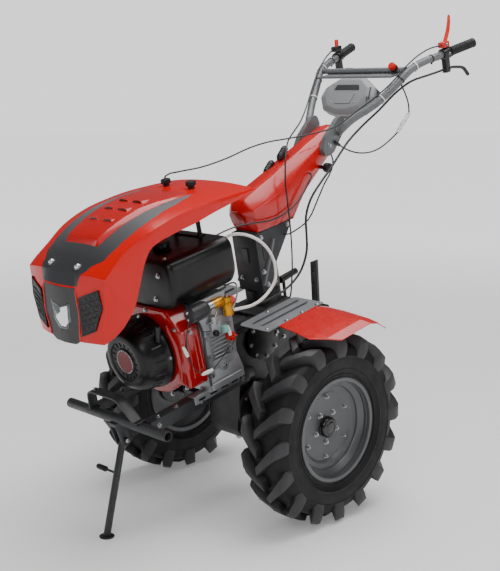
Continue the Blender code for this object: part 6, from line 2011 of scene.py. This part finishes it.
CABLES = (
    Cable("throttle", (
        (-0.061, -0.111, 1.1562), (-0.061, -0.111, 1.1600), (-0.0600, -0.102, 1.1645),
        (-0.057, -0.060, 1.163),
        (-0.050, 0.030, 1.153), (-0.035, 0.150, 1.155), (-0.012, 0.232, 1.168),
        (0.010, 0.301, 1.171), (0.032, 0.378, 1.164), (0.058, 0.470, 1.158), (0.087, 0.560, 1.160),
        (0.118, 0.640, 1.192), (0.150, 0.700, 1.223), (0.183, 0.770, 1.262), (0.206, 0.842, 1.310),
        (0.221, 0.900, 1.338), (0.240, 0.960, 1.354), (0.2558, 0.9924, 1.3559),
    ), crosses=True),
    Cable("clutch", (
        (-0.2558, 0.9924, 1.3559), (-0.240, 0.960, 1.354), (-0.221, 0.900, 1.338),
        (-0.206, 0.842, 1.310), (-0.183, 0.770, 1.262), (-0.150, 0.700, 1.223),
        (-0.118, 0.640, 1.198),
        (-0.070, 0.552, 1.174), (-0.020, 0.460, 1.163), (0.030, 0.375, 1.151),
        (0.070, 0.314, 1.117),
        (0.090, 0.276, 1.045), (0.093, 0.268, 0.955), (0.092, 0.256, 0.815), (0.088, 0.236, 0.700),
        (0.086, 0.212, 0.636), (0.081, 0.205, 0.622), (0.0745, 0.204, 0.620),
        (0.0704, 0.204, 0.620),
    ), crosses=True),
    Cable("gear_select", (
        (0.2560, 1.0014, 1.2678), (0.252, 0.985, 1.266), (0.235, 0.930, 1.262),
        (0.207, 0.860, 1.254),
        (0.180, 0.800, 1.225), (0.152, 0.735, 1.180), (0.126, 0.665, 1.140), (0.108, 0.600, 1.100),
        (0.106, 0.540, 1.062), (0.107, 0.490, 1.031), (0.105, 0.430, 0.995), (0.102, 0.370, 0.950),
        (0.101, 0.338, 0.900), (0.101, 0.328, 0.839), (0.101, 0.318, 0.785), (0.101, 0.276, 0.725),
        (0.101, 0.206, 0.690), (0.100, 0.109, 0.680), (0.094, 0.020, 0.684), (0.084, -0.060, 0.692),
        (0.080, -0.100, 0.695), (0.080, -0.1189, 0.695),
    ), radius=0.0042, crosses=True),
    Cable("brake", (
        (0.028, 0.5760, 1.0660), (0.030, 0.584, 1.054), (0.036, 0.584, 1.030),
        (0.052, 0.550, 1.003),
        (0.072, 0.482, 0.972), (0.077, 0.432, 0.930), (0.075, 0.375, 0.876), (0.071, 0.312, 0.858),
        (0.0680, 0.2625, 0.857), (0.0588, 0.262, 0.857),
    )),
    Cable("wiring", (
        (0.0590, 0.430, 1.028), (0.068, 0.428, 1.025), (0.075, 0.395, 0.995), (0.078, 0.319, 0.948),
        (0.078, 0.260, 0.933), (0.078, 0.181, 0.932), (0.075, 0.111, 0.946), (0.062, 0.050, 0.953),
        (0.050, -0.010, 0.950), (0.047, -0.050, 0.946), (0.047, -0.0714, 0.945),
    ), crosses=True),
    Cable("white_loom", (
        (0.105, -0.0714, 0.950), (0.105, -0.056, 0.950), (0.118, -0.025, 0.955),
        (0.150, 0.020, 0.938),
        (0.176, 0.056, 0.894), (0.190, 0.070, 0.835), (0.197, 0.056, 0.783), (0.199, 0.004, 0.748),
        (0.198, -0.060, 0.736), (0.189, -0.112, 0.742), (0.1832, -0.1341, 0.745),
    ), radius=0.0052, finish=LOOM_SLEEVE, body=Body.CHASSIS),
    Cable("lamp_lead", (
        (0.166, 0.852, 1.2811), (0.166, 0.852, 1.262), (0.170, 0.868, 1.215), (0.172, 0.880, 1.165),
        (0.171, 0.876, 1.132), (0.164, 0.858, 1.104), (0.152, 0.822, 1.076), (0.140, 0.776, 1.052),
        (0.128, 0.715, 1.036), (0.114, 0.662, 1.040), (0.096, 0.622, 1.056), (0.080, 0.600, 1.075),
        (0.074, 0.588, 1.0870),
    ), plug=((0.171, 0.876, 1.132), (0.152, 0.822, 1.076))),
)


# ---------------------------------------------------------------- studio
@dataclass
class Studio:
    """Camera, soft lights and the pale floor.

    The surround lights the machine by ambient and shows as backdrop. The floor glows by
    floor_lift out to the first distance of near_far, and by horizon_lift from the second on.
    The sky is a lamp's power, its width and its two tilts in degrees.
    """

    lens: float = 66.7
    azimuth: float = 45.63
    pitch: float = 10.25
    ambient: float = 0.14
    backdrop: float = 1.35
    floor_lift: float = 0.18
    horizon_lift: float = 1.05
    near_far: tuple = (1.0, 7.0)
    place: tuple = (2.569, -2.485 + AXLE_Y, 1.377)
    sky: tuple = (0.55, 70.0, 18.0, 14.0)

    def camera(self) -> None:
        """The camera at its viewing angle."""
        data = bpy.data.cameras.new("camera")
        data.lens = self.lens
        data.sensor_width = 36.0
        data.clip_end = 60.0
        camera = bpy.data.objects.new("camera", data)
        bpy.context.scene.collection.objects.link(camera)
        camera.location = self.place
        camera.rotation_euler = (math.radians(90.0 - self.pitch), 0.0, math.radians(self.azimuth))
        bpy.context.scene.camera = camera

    def lights(self) -> None:
        """A broad top light, a key from the front, and fills that draw streaks in the paint."""
        for name, place, size, power, aim in (
            ("top_light", (0.2, 0.4, 3.6), (3.4, 2.6), 125.0, (0.0, 0.0, 0.9)),
            ("key_light", (2.6, -3.4, 3.0), (1.8, 1.4), 36.0, (0.0, 0.0, 0.7)),
            ("side_fill", (4.0, 1.4, 2.0), (1.6, 2.0), 22.0, (0.0, 0.0, 0.6)),
            ("front_fill", (-2.4, -3.6, 2.2), (1.6, 1.6), 14.0, (0.0, 0.0, 0.6)),
        ):
            data = bpy.data.lights.new(name, "AREA")
            data.shape = "RECTANGLE"
            data.size, data.size_y = size
            data.energy = power
            light = bpy.data.objects.new(name, data)
            bpy.context.scene.collection.objects.link(light)
            light.location = place
            way = Vector(aim) - Vector(place)
            light.rotation_euler = way.to_track_quat("-Z", "Y").to_euler()

    def skylight(self) -> None:
        """A very broad overhead light that keeps the floor even to the horizon."""
        data = bpy.data.lights.new("skylight", "SUN")
        data.energy, width, *tilts = self.sky
        data.angle = math.radians(width)
        light = bpy.data.objects.new("skylight", data)
        bpy.context.scene.collection.objects.link(light)
        light.rotation_euler = (*map(math.radians, tilts), 0.0)

    def surroundings(self) -> None:
        """An even pale surround and a pale floor."""
        world = bpy.data.worlds.new("pale_surround")
        world.use_nodes = True
        back = world.node_tree.nodes["Background"]
        back.inputs["Color"].default_value = (1.0, 1.0, 1.0, 1.0)
        tree = world.node_tree
        seen = add_node(tree, "LightPath").outputs["Is Camera Ray"]
        strength = add_node(tree, "MapRange", None, {"Value": seen, "To Min": self.ambient,
                                                     "To Max": self.backdrop})
        tree.links.new(strength.outputs["Result"], back.inputs["Strength"])
        bpy.context.scene.world = world
        bm = bmesh.new()
        bmesh.ops.create_grid(bm, x_segments=1, y_segments=1, size=30.0)
        mesh = bpy.data.meshes.new("pale_floor")
        bm.to_mesh(mesh)
        bm.free()
        floor = bpy.data.objects.new("pale_floor", mesh)
        bpy.context.scene.collection.objects.link(floor)
        floor.location.z = -0.0005
        material = bpy.data.materials.new("pale_floor")
        material.use_nodes = True
        shader = material.node_tree.nodes["Principled BSDF"]
        shader.inputs["Base Color"].default_value = linear("#f4f4f4")
        shader.inputs["Roughness"].default_value = 0.9
        glow = material.node_tree
        place = add_node(glow, "TexCoord").outputs["Object"]
        far = add_node(glow, "VectorMath", {"operation": "LENGTH"}, {0: place}).outputs["Value"]
        lift = add_node(glow, "MapRange", {"interpolation_type": "SMOOTHSTEP"},
                        {"Value": far, "From Min": self.near_far[0], "From Max": self.near_far[1],
                         "To Min": self.floor_lift, "To Max": self.horizon_lift})
        shader.inputs["Emission Color"].default_value = (1.0, 1.0, 1.0, 1.0)
        glow.links.new(lift.outputs["Result"], shader.inputs["Emission Strength"])
        mesh.materials.append(material)

    def build(self) -> None:
        """Set up the whole studio after the camera."""
        self.lights()
        self.skylight()
        self.surroundings()


# ---------------------------------------------------------------- carried-over pieces
PLAIN = (
    # node, finish, body, width of rounded edges, degrees from which an edge shows
    ("blower_housing", ENGINE_ENAMEL, Body.CHASSIS, 0.004, 28.0),
    ("left_fender_outer", FENDER_ENAMEL, Body.CHASSIS, 0.0, 28.0),
    ("right_fender_outer", FENDER_ENAMEL, Body.CHASSIS, 0.0, 28.0),
    ("left_fender_inner", FENDER_GREY, Body.CHASSIS, 0.0, 28.0),
    ("right_fender_inner", FENDER_GREY, Body.CHASSIS, 0.0, 28.0),
    ("frame", FRAME_POWDER, Body.CHASSIS, 0.0012, 28.0),
    ("front_crossbar", FRAME_POWDER, Body.CHASSIS, 0.0008, 40.0),
    ("front_guard", FRAME_POWDER, Body.CHASSIS, 0.0012, 28.0),
    ("stand_leg", FRAME_POWDER, Body.STAND, 0.0008, 40.0),
    ("fender_carrier", FRAME_POWDER, Body.CHASSIS, 0.001, 28.0),
    ("depth_bar", FRAME_POWDER, Body.CHASSIS, 0.0008, 28.0),
    ("engine_block", CAST_ALUMINIUM, Body.CHASSIS, 0.002, 28.0),
    ("gearbox", BLACK_CASTING, Body.CHASSIS, 0.003, 28.0),
    ("hitch", BLACK_CASTING, Body.CHASSIS, 0.0015, 28.0),
    ("hood_bracket", SATIN_BLACK, Body.CHASSIS, 0.0006, 28.0),
    ("gear_lever", BLACK_PLASTIC, Body.CHASSIS, 0.002, 28.0),
    ("handle_turret", TURRET_POWDER, Body.HANDLE, 0.0015, 28.0),
    ("column_cover", RED_ENAMEL, Body.HANDLE, 0.004, 28.0),
    ("handlebar_left", HANDLE_GREY, Body.HANDLE, 0.0, 50.0),
    ("handlebar_right", HANDLE_GREY, Body.HANDLE, 0.0, 50.0),
    ("handle_cross_tube", HANDLE_GREY, Body.HANDLE, 0.0, 50.0),
    ("lever_clamp_left", BLACK_PLASTIC, Body.HANDLE, 0.001, 28.0),
    ("lever_clamp_right", BLACK_PLASTIC, Body.HANDLE, 0.001, 28.0),
    ("height_knob_left", BLACK_PLASTIC, Body.HANDLE, 0.001, 28.0),
    ("height_knob_right", BLACK_PLASTIC, Body.HANDLE, 0.001, 28.0),
)


def main() -> None:
    """Build the machine piece by piece."""
    logging.basicConfig(level=logging.INFO, format="%(message)s")
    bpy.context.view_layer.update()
    studio = Studio()
    studio.camera()
    for cable in CABLES:
        cable.build()
    for (side, name), body in zip(SIDES, (Body.LEFT_WHEEL, Body.RIGHT_WHEEL)):
        Wheel(side, body, name).build()
    Hood().build()
    for node, finish, body, bevel, shows in PLAIN:
        refine(node, finish, body, bevel, shows)
    Engine().build()
    RunningGear().build()
    Handle().build()
    studio.build()


if __name__ == "__main__":
    main()
